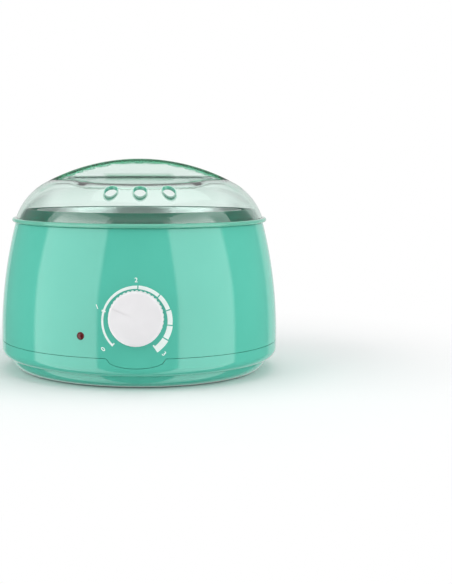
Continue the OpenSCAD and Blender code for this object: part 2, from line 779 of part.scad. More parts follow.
module thermal_fuse() {
    color("white") translate([-fuse_l / 2, fuse_y, well_bottom - fuse_r - seat]) rotate([0, 90, 0])
        cylinder(h = fuse_l, r = fuse_r);
}

// Strap that holds the fuse against the well's floor
module fuse_clip() {
    axis_z = well_bottom - fuse_r - seat;
    r = fuse_r + seat + clip_t;
    color("gainsboro") difference() {
        union() {
            translate([-clip_w / 2, fuse_y, axis_z]) rotate([0, 90, 0]) cylinder(h = clip_w, r = r);
            translate([-clip_w / 2, fuse_y - r, axis_z]) cube([clip_w, 2 * r, well_bottom - axis_z]);
            translate([-clip_w / 2, fuse_y, well_bottom - clip_t]) cube([clip_w, clip_y + 5 - fuse_y, clip_t]);
        }
        translate([-clip_w, fuse_y, axis_z]) rotate([0, 90, 0]) cylinder(h = 2 * clip_w, r = fuse_r + seat);
        translate([-clip_w, fuse_y - fuse_r - seat, axis_z]) cube([2 * clip_w, 2 * (fuse_r + seat), 10]);
        translate([0, clip_y, 0]) cylinder(h = 60, r = stud_r + 0.2);
    }
}

// Red lens: a low dome outside, a tube through the wall and a collar behind it
module indicator_lens() {
    seat_z = -wall - 2;
    dome_r = (pow(lens_r, 2) + pow(lens_out, 2)) / (2 * lens_out);
    color("firebrick") at_lamp() difference() {
        union() {
            translate([0, 0, seat_z - 5]) cylinder(h = 5 - seat_z, r = lens_r);
            intersection() {
                translate([0, 0, lens_out - dome_r]) sphere(r = dome_r);
                translate([0, 0, -0.5]) cylinder(h = lens_out + 1, r = lens_r);
            }
            translate([0, 0, seat_z - lens_collar]) cylinder(h = lens_collar, r = lens_r + 1.2);
        }
        translate([0, 0, seat_z - 6]) cylinder(h = 6 - seat_z - 1.2, r = neon_r + seat);
    }
}

module indicator_lamp() {
    color("orange") at_lamp() translate([0, 0, -1.5 - neon_l]) union() {
        cylinder(h = neon_l, r = neon_r);
        for (x = [-0.7, 0.7]) translate([x, 0, -5]) cylinder(h = 5.5, r = 0.3);
    }
}

// Push-on ring that keeps the lens in its hole
module lamp_retainer() {
    color("silver") at_lamp() translate([0, 0, -wall - 2 - lens_collar - 0.8]) difference() {
        cylinder(h = 0.8, r = lens_r + 2);
        translate([0, 0, -1]) cylinder(h = 3, r = lens_r + fit);
        for (a = [0:60:300]) rotate([0, 0, a]) translate([0, -0.3, -1]) cube([lens_r + 1.2, 0.6, 3]);
    }
}

module terminal_block() {
    color("ivory") difference() {
        translate([-block[0] / 2, block_y - block[1] / 2, floor_top + 2]) union() {
            cube(block);
            translate([block[0] / 2 - 1, 0, block[2] - 0.5]) cube([2, block[1], 3]);
        }
        for (x = [-1, 1]) {
            translate([x * 6.5, block_y - block[1], floor_top + 7.5]) rotate([-90, 0, 0])
                cylinder(h = 2 * block[1], r = wire_r + 0.8);
            for (y = [-1, 1]) translate([x * 6.5, block_y + y * 4.5, floor_top + 10]) cylinder(h = 10, r = 2.1);
        }
    }
}

module terminal_screws() {
    color("gold") for (x = [-1, 1], y = [-1, 1])
        translate([x * 6.5, block_y + y * 4.5, floor_top + 10.1]) difference() {
            cylinder(h = 3, r = 2);
            translate([-1.5, -0.3, 2.2]) cube([3, 0.6, 2]);
        }
}

// A wire through a list of points: straight runs joined by round bends
module wire(points) {
    last = len(points) - 1;
    function dir(i) = (points[i + 1] - points[i]) / norm(points[i + 1] - points[i]);
    function turn(i) = i == 0 || i == last ? 0 : acos(dir(i - 1) * dir(i));
    function trim(i) = bend_r * tan(turn(i) / 2);
    for (i = [0:last - 1]) {
        d = dir(i);
        translate(points[i] + trim(i) * d) rotate([0, acos(d[2]), atan2(d[1], d[0])])
            translate([0, 0, i == 0 ? 0 : -0.4])
                cylinder(h = norm(points[i + 1] - points[i]) - trim(i) - trim(i + 1)
                    + (i == 0 ? 0 : 0.4) + (i == last - 1 ? 0 : 0.4), r = wire_r - 0.06);
    }
    for (i = [1:1:last - 1]) {
        z = cross(dir(i - 1), dir(i)) / norm(cross(dir(i - 1), dir(i)));
        x = cross(dir(i - 1), z);
        y = dir(i - 1);
        o = points[i] - trim(i) * dir(i - 1) - bend_r * x;
        multmatrix([[x[0], y[0], z[0], o[0]], [x[1], y[1], z[1], o[1]], [x[2], y[2], z[2], o[2]], [0, 0, 0, 1]])
            rotate_extrude(angle = turn(i)) translate([bend_r, 0]) circle(r = wire_r);
    }
}

module internal_wires() {
    block_z = floor_top + 7.5;
    block_in = block_y - block[1] / 2 + 2;
    tab = [(band_in + 1.6) * cos(rear - 35), (band_in + 1.6) * sin(rear - 35), band_low - 7.9];
    stat_y = -dial_y + stat_front + 9.7;
    stat_z = dial_h - 19.2;
    color("black") {
        // From the block to the thermostat
        wire([[6.5, block_in, block_z], [6.5, block_y - 18, block_z], [30, 20, 12], [44, -30, 12],
            [7, stat_y + 6, stat_z - 4], [7, stat_y, stat_z]]);
        // From the thermostat to the heater
        wire([[-7, stat_y, stat_z], [-7, stat_y + 8, stat_z - 8], [-40, -38, 16], [-50, 34, 20],
            [-tab[0], tab[1], tab[2]]]);
        // From the heater through the fuse to the block
        wire([tab, [tab[0] - 4, tab[1] - 12, tab[2] - 8], [20, fuse_y, well_bottom - fuse_r - seat],
            [fuse_l / 2 + 0.2, fuse_y, well_bottom - fuse_r - seat]]);
        wire([[-fuse_l / 2 - 0.2, fuse_y, well_bottom - fuse_r - seat],
            [-fuse_l / 2 - 7, fuse_y, well_bottom - fuse_r - seat], [-16, 24, well_bottom - 8.5],
            [-14, block_y - 16, block_z], [-6.5, block_y - 12, block_z], [-6.5, block_in, block_z]]);
    }
}

// Square section of the gland's neck, and with slip that of its seat in the joint
module gland_square(y, length, grow) {
    half = gland_neck + grow;
    translate([-half, y, seam_h - half]) cube([2 * half, length, 2 * half]);
}

// Rubber gland held in the joint: outer flange, square neck, inner flange and a round bore for the cord
module cord_gland() {
    y0 = body_r + 0.3;
    color("dimgray") difference() {
        union() {
            translate([0, 0, seam_h]) rotate([-90, 0, 0]) {
                translate([0, 0, y0]) cylinder(h = gland_flange_t - 0.8, r = gland_flange);
                translate([0, 0, y0 + gland_flange_t - 0.8])
                    cylinder(h = 0.8, r1 = gland_flange, r2 = gland_flange - 0.8);
                translate([0, 0, gland_in - gland_tail]) cylinder(h = gland_tail, r = gland_tail_r);
                translate([0, 0, gland_in - 2]) cylinder(h = 2, r = gland_flange - 0.4);
            }
            gland_square(gland_in - 0.5, y0 - gland_in + 1, 0);
        }
        translate([0, gland_in - gland_tail - 1, seam_h]) rotate([-90, 0, 0]) cylinder(h = 40, r = gland_bore);
    }
}

module cord_clamp() {
    color("ivory") difference() {
        translate([-clamp_l / 2, clamp_y - clamp_w / 2, seam_h + 0.2]) cube([clamp_l, clamp_w, clamp_t]);
        translate([0, clamp_y - clamp_w, seam_h]) rotate([-90, 0, 0]) cylinder(h = 2 * clamp_w, r = cord_r);
        for (x = [-1, 1]) translate([x * clamp_screw_x, clamp_y, seam_h]) cylinder(h = 20, r = 1.6);
    }
}

module clamp_screws() {
    color("silver") for (x = [-1, 1]) translate([x * clamp_screw_x, clamp_y, seam_h + 0.2 + clamp_t])
        rotate([180, 0, 0]) pan_screw(12, 1.45, 2.8, 1.8);
}

module housing_screws() {
    color("silver") for (a = screw_at) round_at(a, screw_ring_r)
        translate([0, 0, head_z]) pan_screw(housing_screw_l, pilot_r, head_r, head_h);
}

module rubber_feet() {
    color("dimgray") for (a = feet_at) round_at(a, feet_ring_r) union() {
        cylinder(h = 0.6, d1 = foot_pad_d - 1, d2 = foot_pad_d);
        translate([0, 0, 0.6]) cylinder(h = floor_z - 0.6, d = foot_pad_d);
    }
}

upper_housing();
base_housing();
lid();
wax_pot();
heating_well();
well_seal();
well_brackets();
bracket_screws();
heater_band();
band_screw();
insulation_sleeve();
thermostat_bracket();
thermostat_body();
thermostat_nut();
thermostat_shaft();
control_knob();
knob_spring();
stud_nuts();
thermal_fuse();
fuse_clip();
indicator_lens();
indicator_lamp();
lamp_retainer();
terminal_block();
terminal_screws();
internal_wires();
cord_gland();
cord_clamp();
clamp_screws();
housing_screws();
rubber_feet();
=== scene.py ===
import json
import math
import bmesh
import bpy
import numpy as np
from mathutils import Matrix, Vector
from mathutils.geometry import delaunay_2d_cdt


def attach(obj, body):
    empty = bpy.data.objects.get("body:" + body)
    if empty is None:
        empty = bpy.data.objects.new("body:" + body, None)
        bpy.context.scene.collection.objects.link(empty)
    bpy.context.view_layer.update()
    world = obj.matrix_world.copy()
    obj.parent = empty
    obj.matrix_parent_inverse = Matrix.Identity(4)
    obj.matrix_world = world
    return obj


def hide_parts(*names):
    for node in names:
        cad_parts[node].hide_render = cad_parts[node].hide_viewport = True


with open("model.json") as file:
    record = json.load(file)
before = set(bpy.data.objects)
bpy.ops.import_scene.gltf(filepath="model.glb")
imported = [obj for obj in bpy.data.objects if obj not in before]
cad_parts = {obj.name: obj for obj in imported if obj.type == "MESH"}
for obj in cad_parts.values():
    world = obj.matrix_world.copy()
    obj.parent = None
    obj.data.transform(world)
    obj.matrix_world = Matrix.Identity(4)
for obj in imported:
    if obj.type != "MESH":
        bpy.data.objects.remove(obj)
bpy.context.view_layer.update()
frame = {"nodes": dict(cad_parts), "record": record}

nodes = frame["nodes"]
mm = 0.001
print("frame loaded:", len(nodes), "nodes")


# general helpers: lengths are millimetres here, and metres once they are in a mesh

def linear(hexText):
    values = [int(hexText[i:i + 2], 16) / 255 for i in (1, 3, 5)]
    return [v / 12.92 if v <= 0.04045 else ((v + 0.055) / 1.055) ** 2.4 for v in values] + [1.0]


def addNode(tree, kind, settings=None, links=None):
    node = tree.nodes.new(kind)
    for key, value in (settings or {}).items():
        if isinstance(key, int) or key in node.inputs:
            node.inputs[key].default_value = value
        else:
            setattr(node, key, value)
    for key, source in (links or {}).items():
        tree.links.new(source, node.inputs[key])
    return node


def newMaterial(name):
    material = bpy.data.materials.new(name)
    material.use_nodes = True
    material.node_tree.nodes.clear()
    tree = material.node_tree
    shader = addNode(tree, "ShaderNodeBsdfPrincipled")
    output = addNode(tree, "ShaderNodeOutputMaterial", {}, {"Surface": shader.outputs["BSDF"]})
    return material, tree, shader, output


def setSockets(shader, values):
    for key, value in values.items():
        shader.inputs[key].default_value = value


def smoothCorners(mesh, angle):
    # smooth shading that stays crisp where two faces meet at more than the angle
    build = bmesh.new()
    build.from_mesh(mesh)
    for face in build.faces:
        face.smooth = True
    for edge in build.edges:
        edge.smooth = len(edge.link_faces) == 2 and edge.calc_face_angle(0) < math.radians(angle)
    build.to_mesh(mesh)
    build.free()


def cornerNormals(mesh):
    values = np.zeros(len(mesh.loops) * 3, np.float32)
    mesh.corner_normals.foreach_get("vector", values)
    return values.reshape(-1, 3)


def meshArrays(mesh):
    points = np.zeros(len(mesh.vertices) * 3)
    mesh.vertices.foreach_get("co", points)
    corners = np.zeros(len(mesh.loops), int)
    mesh.loops.foreach_get("vertex_index", corners)
    sizes = np.zeros(len(mesh.polygons), int)
    mesh.polygons.foreach_get("loop_total", sizes)
    return points.reshape(-1, 3), corners, np.repeat(np.arange(len(sizes)), sizes)


def addPiece(name, mesh, material, body, slot, *replaced):
    piece = bpy.data.objects.new(name, mesh)
    bpy.context.scene.collection.objects.link(piece)
    mesh.materials.clear()
    mesh.materials.append(material)
    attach(piece, body)
    if replaced:
        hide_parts(*replaced)
    return piece


def mergedCopy(name, node, angle=32):
    mesh = nodes[node].data.copy()
    mesh.name = name
    build = bmesh.new()
    build.from_mesh(mesh)
    bmesh.ops.remove_doubles(build, verts=build.verts, dist=2e-6)
    build.to_mesh(mesh)
    build.free()
    smoothCorners(mesh, angle)
    return mesh


def ringTree(name):
    # a node tree that sets one unit again and again round the vertical axis
    tree = bpy.data.node_groups.new(name, "GeometryNodeTree")
    socket = {}
    for label, kind in (("Unit", "NodeSocketGeometry"), ("Count", "NodeSocketInt"),
                        ("Material", "NodeSocketMaterial")):
        socket[label] = tree.interface.new_socket(label, in_out="INPUT", socket_type=kind).identifier
    tree.interface.new_socket("Ring", in_out="OUTPUT", socket_type="NodeSocketGeometry")
    given = addNode(tree, "NodeGroupInput").outputs
    line = addNode(tree, "GeometryNodeMeshLine", {"Offset": (0, 0, 0)}, {"Count": given["Count"]})
    step = addNode(tree, "ShaderNodeMath", {"operation": "DIVIDE", 0: 2 * math.pi}, {1: given["Count"]})
    index = addNode(tree, "GeometryNodeInputIndex")
    turn = addNode(tree, "ShaderNodeMath", {"operation": "MULTIPLY"}, {0: index.outputs[0], 1: step.outputs[0]})
    turn = addNode(tree, "ShaderNodeCombineXYZ", {}, {2: turn.outputs[0]})
    placed = addNode(tree, "GeometryNodeInstanceOnPoints", {},
                     {"Points": line.outputs[0], "Instance": given["Unit"], "Rotation": turn.outputs[0]})
    solid = addNode(tree, "GeometryNodeRealizeInstances", {}, {0: placed.outputs[0]})
    solid = addNode(tree, "GeometryNodeSetMaterial", {},
                    {"Geometry": solid.outputs[0], "Material": given["Material"]})
    addNode(tree, "NodeGroupOutput", {}, {0: solid.outputs[0]})
    return tree, socket


def ringCopy(name, node, count, material, angle=32):
    # keeps the first of the node's alike solids and lets the node tree set the others
    mesh = mergedCopy(name, node, angle)
    build = bmesh.new()
    build.from_mesh(mesh)
    build.faces.ensure_lookup_table()
    seen, reach = {build.faces[0]}, [build.faces[0]]
    while reach:
        for edge in reach.pop().edges:
            for face in edge.link_faces:
                if face not in seen:
                    seen.add(face)
                    reach.append(face)
    bmesh.ops.delete(build, geom=[face for face in build.faces if face not in seen], context="FACES")
    build.to_mesh(mesh)
    build.free()
    unit = bpy.data.objects.new(name + "_unit", mesh)
    bpy.context.scene.collection.objects.link(unit)
    tree, socket = ringTree(name + "_ring")
    modifier = unit.modifiers.new("ring", "NODES")
    modifier.node_group = tree
    modifier[socket["Count"]] = count
    modifier[socket["Material"]] = material
    bpy.context.view_layer.update()
    whole = bpy.data.meshes.new_from_object(unit.evaluated_get(bpy.context.evaluated_depsgraph_get()))
    bpy.data.objects.remove(unit)
    bpy.data.meshes.remove(mesh)
    bpy.data.node_groups.remove(tree)
    whole.name = name
    smoothCorners(whole, angle)
    return whole


def circle(radius, count, cx=0.0, cy=0.0):
    return [(cx + radius * math.cos(2 * math.pi * i / count), cy + radius * math.sin(2 * math.pi * i / count))
            for i in range(count)]


def arcPoints(cx, cy, radius, start, end, count):
    return [(cx + radius * math.cos(math.radians(start + (end - start) * i / count)),
             cy + radius * math.sin(math.radians(start + (end - start) * i / count))) for i in range(count + 1)]


# camera, at the place that the photograph was taken from

view = {"distance": 777.8, "height": 141.3, "turn": 1.2, "down": 6.675, "lens": 71.22, "shift": 0.1486}
cameraData = bpy.data.cameras.new("camera")
cameraData.lens = view["lens"]
cameraData.sensor_width = 36
cameraData.shift_x = view["shift"]
camera = bpy.data.objects.new("camera", cameraData)
side = math.radians(view["turn"])
camera.location = (view["distance"] * math.sin(side) * mm, -view["distance"] * math.cos(side) * mm,
                   view["height"] * mm)
camera.rotation_euler = (math.radians(90 - view["down"]), 0, side)
bpy.context.scene.collection.objects.link(camera)
bpy.context.scene.camera = camera


# studio: a pale floor in a white room, with tall softboxes at the sides and dark gaps between them, which is what
# the gloss shows. The bands run round the room as (angle from the camera, level), lean outwards above bandLevel,
# end in an even sky, and a green card on the ceiling colours what is seen through the lid's edges

studio = {
    "boxRadiance": 2.0, "boxAt": 66, "boxDistance": 1.5, "boxWidth": 1.7, "boxHeight": 1.9, "boxLift": 0.55,
    "topRadiance": 1.1, "topSize": 1.4, "topHeight": 1.5, "fillLevel": 0.42,
    "glossBands": ((-180, 0.75), (-151, 0.75), (-147, 0.3), (-96.5, 0.3), (-93, 2.55), (-35.5, 2.55), (-33, 0.22),
                   (30.6, 0.22), (33, 2.55), (82.5, 2.55), (86, 0.3), (133, 0.3), (137, 0.75), (180, 0.75)),
    "bandLean": 15.0, "bandLevel": 0.1,
    "skyFrom": 0.46, "skyTo": 0.66, "skyLevel": 1.0, "cardFrom": 0.6, "cardTo": 0.8, "cardColour": "#3fa380",
    "lowFrom": -0.75, "lowTo": -0.95, "lowLevel": 0.6,
    "floorColour": "#f4f5f5", "floorRadius": 4.0, "fadeFrom": 0.11, "fadeTo": 0.34,
}


def addSoftbox(name, azimuth, radiance, width, height, distance, lift):
    lamp = bpy.data.lights.new(name, "AREA")
    lamp.shape = "RECTANGLE"
    lamp.size, lamp.size_y = width, height
    lamp.energy = radiance * math.pi * width * height
    place = bpy.data.objects.new(name, lamp)
    a = math.radians(270 + view["turn"] + azimuth)
    place.location = (distance * math.cos(a), distance * math.sin(a), lift)
    aim = Vector((0, 0, 0.07)) - place.location
    place.rotation_euler = aim.to_track_quat("-Z", "Y").to_euler()
    place.visible_camera = False
    place.visible_glossy = False      # the gloss shows the softboxes that are drawn in the world
    bpy.context.scene.collection.objects.link(place)


for name, azimuth in (("softbox_left", -studio["boxAt"]), ("softbox_right", studio["boxAt"])):
    addSoftbox(name, azimuth, studio["boxRadiance"], studio["boxWidth"], studio["boxHeight"],
               studio["boxDistance"], studio["boxLift"])
addSoftbox("softbox_top", 150, studio["topRadiance"], studio["topSize"], studio["topSize"], 0.25, studio["topHeight"])

world = bpy.data.worlds.new("studio")
bpy.context.scene.world = world
world.use_nodes = True
tree = world.node_tree
tree.nodes.clear()
towards = addNode(tree, "ShaderNodeTexCoord")
parts = addNode(tree, "ShaderNodeSeparateXYZ", {}, {0: towards.outputs["Generated"]})
back = addNode(tree, "ShaderNodeMath", {"operation": "MULTIPLY", 1: -1.0}, {0: parts.outputs["Y"]})
azimuth = addNode(tree, "ShaderNodeMath", {"operation": "ARCTAN2"}, {0: parts.outputs["X"], 1: back.outputs[0]})
azimuth = addNode(tree, "ShaderNodeMath", {"operation": "SUBTRACT", 1: math.radians(view["turn"])},
                  {0: azimuth.outputs[0]})
lean = addNode(tree, "ShaderNodeMath", {"operation": "SUBTRACT", 1: studio["bandLevel"]}, {0: parts.outputs["Z"]})
lean = addNode(tree, "ShaderNodeMath", {"operation": "MULTIPLY", 1: math.radians(studio["bandLean"])},
               {0: lean.outputs[0]})
lean = addNode(tree, "ShaderNodeMath", {"operation": "MAXIMUM", 1: 0.0}, {0: lean.outputs[0]})
whichSide = addNode(tree, "ShaderNodeMath", {"operation": "SIGN"}, {0: azimuth.outputs[0]})
azimuth = addNode(tree, "ShaderNodeMath", {"operation": "MULTIPLY_ADD"},
                  {0: lean.outputs[0], 1: whichSide.outputs[0], 2: azimuth.outputs[0]})
azimuth = addNode(tree, "ShaderNodeMath", {"operation": "MULTIPLY_ADD", 1: 0.5 / math.pi, 2: 0.5},
                  {0: azimuth.outputs[0]})
bands = addNode(tree, "ShaderNodeValToRGB", {}, {0: azimuth.outputs[0]})
brightest = max(level for _, level in studio["glossBands"])
stops = bands.color_ramp.elements
while len(stops) < len(studio["glossBands"]):
    stops.new(0.5)
for stop, (angle, level) in zip(stops, studio["glossBands"]):
    stop.position = (angle + 180) / 360
    stop.color = (level / brightest, level / brightest, level / brightest, 1)
bands = addNode(tree, "ShaderNodeMath", {"operation": "MULTIPLY", 1: brightest}, {0: bands.outputs[0]})
upward = addNode(tree, "ShaderNodeMapRange", {"interpolation_type": "SMOOTHSTEP", "From Min": studio["skyFrom"],
                                              "From Max": studio["skyTo"]}, {"Value": parts.outputs["Z"]})
path = addNode(tree, "ShaderNodeLightPath")
low = addNode(tree, "ShaderNodeMapRange", {"interpolation_type": "SMOOTHSTEP", "From Min": studio["lowTo"],
                                           "From Max": studio["lowFrom"], "To Min": studio["lowLevel"],
                                           "To Max": 1.0}, {"Value": parts.outputs["Z"]})
gloss = addNode(tree, "ShaderNodeMix", {"data_type": "FLOAT", 3: studio["skyLevel"]},
                {0: upward.outputs["Result"], 2: bands.outputs[0]})
gloss = addNode(tree, "ShaderNodeMath", {"operation": "MULTIPLY"}, {0: gloss.outputs[0], 1: low.outputs["Result"]})
# a ray keeps what it met first: scattered light takes the fill, a reflection the bands, and a straight look the white
scattered = addNode(tree, "ShaderNodeMath", {"operation": "MINIMUM", 1: 1.0}, {0: path.outputs["Diffuse Depth"]})
mirrored = addNode(tree, "ShaderNodeMath", {"operation": "MINIMUM", 1: 1.0}, {0: path.outputs["Glossy Depth"]})
level = addNode(tree, "ShaderNodeMix", {"data_type": "FLOAT", 2: 1.0}, {0: mirrored.outputs[0], 3: gloss.outputs[0]})
level = addNode(tree, "ShaderNodeMix", {"data_type": "FLOAT", 3: studio["fillLevel"]},
                {0: scattered.outputs[0], 2: level.outputs[0]})
level = addNode(tree, "ShaderNodeMix", {"data_type": "FLOAT", 3: 1.0},
                {0: path.outputs["Is Camera Ray"], 2: level.outputs[0]})
card = addNode(tree, "ShaderNodeMapRange", {"interpolation_type": "SMOOTHSTEP", "From Min": studio["cardFrom"],
                                            "From Max": studio["cardTo"]}, {"Value": parts.outputs["Z"]})
card = addNode(tree, "ShaderNodeMath", {"operation": "MULTIPLY"},
               {0: card.outputs["Result"], 1: path.outputs["Is Transmission Ray"]})
tint = addNode(tree, "ShaderNodeMixRGB", {"Color1": (1, 1, 1, 1), "Color2": linear(studio["cardColour"])},
               {"Fac": card.outputs[0]})
sky = addNode(tree, "ShaderNodeBackground", {}, {"Color": tint.outputs[0], "Strength": level.outputs[0]})
addNode(tree, "ShaderNodeOutputWorld", {}, {"Surface": sky.outputs[0]})

floorMesh = bpy.data.meshes.new("floor")
ring = [(studio["floorRadius"] * math.cos(math.radians(a)), studio["floorRadius"] * math.sin(math.radians(a)), 0)
        for a in range(0, 360, 5)]
floorMesh.from_pydata(ring, [], [list(range(len(ring)))])
floor = bpy.data.objects.new("floor", floorMesh)
bpy.context.scene.collection.objects.link(floor)
material, tree, shader, output = newMaterial("matt white floor card")
setSockets(shader, {"Base Color": linear(studio["floorColour"]), "Roughness": 0.9, "Specular IOR Level": 0.0})
where = addNode(tree, "ShaderNodeTexCoord")
away = addNode(tree, "ShaderNodeVectorMath", {"operation": "LENGTH"}, {0: where.outputs["Object"]})
fade = addNode(tree, "ShaderNodeMapRange", {"interpolation_type": "SMOOTHSTEP", "From Min": studio["fadeFrom"],
                                            "From Max": studio["fadeTo"]}, {"Value": away.outputs["Value"]})
path = addNode(tree, "ShaderNodeLightPath")
seen = addNode(tree, "ShaderNodeMath", {"operation": "MAXIMUM"},
               {0: path.outputs["Is Camera Ray"], 1: path.outputs["Is Glossy Ray"]})
seen = addNode(tree, "ShaderNodeMath", {"operation": "MAXIMUM"},
               {0: seen.outputs[0], 1: path.outputs["Is Transmission Ray"]})
both = addNode(tree, "ShaderNodeMath", {"operation": "MULTIPLY"}, {0: fade.outputs["Result"], 1: seen.outputs[0]})
glow = addNode(tree, "ShaderNodeEmission", {"Color": (1, 1, 1, 1), "Strength": 1.0})
mixed = addNode(tree, "ShaderNodeMixShader", {}, {0: both.outputs[0], 1: shader.outputs[0], 2: glow.outputs[0]})
tree.links.new(mixed.outputs[0], output.inputs["Surface"])
floor.visible_glossy = False      # the gloss shows the room down to the foot
floorMesh.materials.append(material)
print("studio ready")


# finishes: each has a colour that drifts, a roughness that drifts and a fine surface of its own

def makeFinish(name, settings):
    material, tree, shader, output = newMaterial(name)
    where = addNode(tree, "ShaderNodeTexCoord").outputs["Object"]
    if settings.get("turned"):
        # turned metal: the pattern follows rings round the vertical axis
        parts = addNode(tree, "ShaderNodeSeparateXYZ", {}, {0: where})
        flat = addNode(tree, "ShaderNodeCombineXYZ", {}, {0: parts.outputs[0], 1: parts.outputs[1]})
        away = addNode(tree, "ShaderNodeVectorMath", {"operation": "LENGTH"}, {0: flat.outputs[0]})
        where = addNode(tree, "ShaderNodeCombineXYZ", {}, {0: away.outputs["Value"], 2: parts.outputs[2]}).outputs[0]
    drift = addNode(tree, "ShaderNodeTexNoise", {"Scale": 1 / (settings["driftSize"] * mm), "Detail": 3.0},
                    {"Vector": where})
    colour = addNode(tree, "ShaderNodeValToRGB", {}, {"Fac": drift.outputs["Fac"]})
    for stop, position, value in zip(colour.color_ramp.elements, (0.3, 0.7), settings["colours"]):
        stop.position = position
        stop.color = linear(value)
    tree.links.new(colour.outputs["Color"], shader.inputs["Base Color"])
    rough = addNode(tree, "ShaderNodeMapRange", {"From Min": 0.3, "From Max": 0.7, "To Min": settings["roughness"][0],
                                                 "To Max": settings["roughness"][1]}, {"Value": drift.outputs["Fac"]})
    tree.links.new(rough.outputs["Result"], shader.inputs["Roughness"])
    grain = addNode(tree, "ShaderNodeTexNoise", {"Scale": 1 / (settings["grainSize"] * mm), "Detail": 2.0},
                    {"Vector": where})
    bump = addNode(tree, "ShaderNodeBump", {"Strength": settings["bump"], "Distance": settings["grainDepth"] * mm},
                   {"Height": grain.outputs["Fac"]})
    tree.links.new(bump.outputs["Normal"], shader.inputs["Normal"])
    setSockets(shader, settings.get("sockets", {}))
    return material


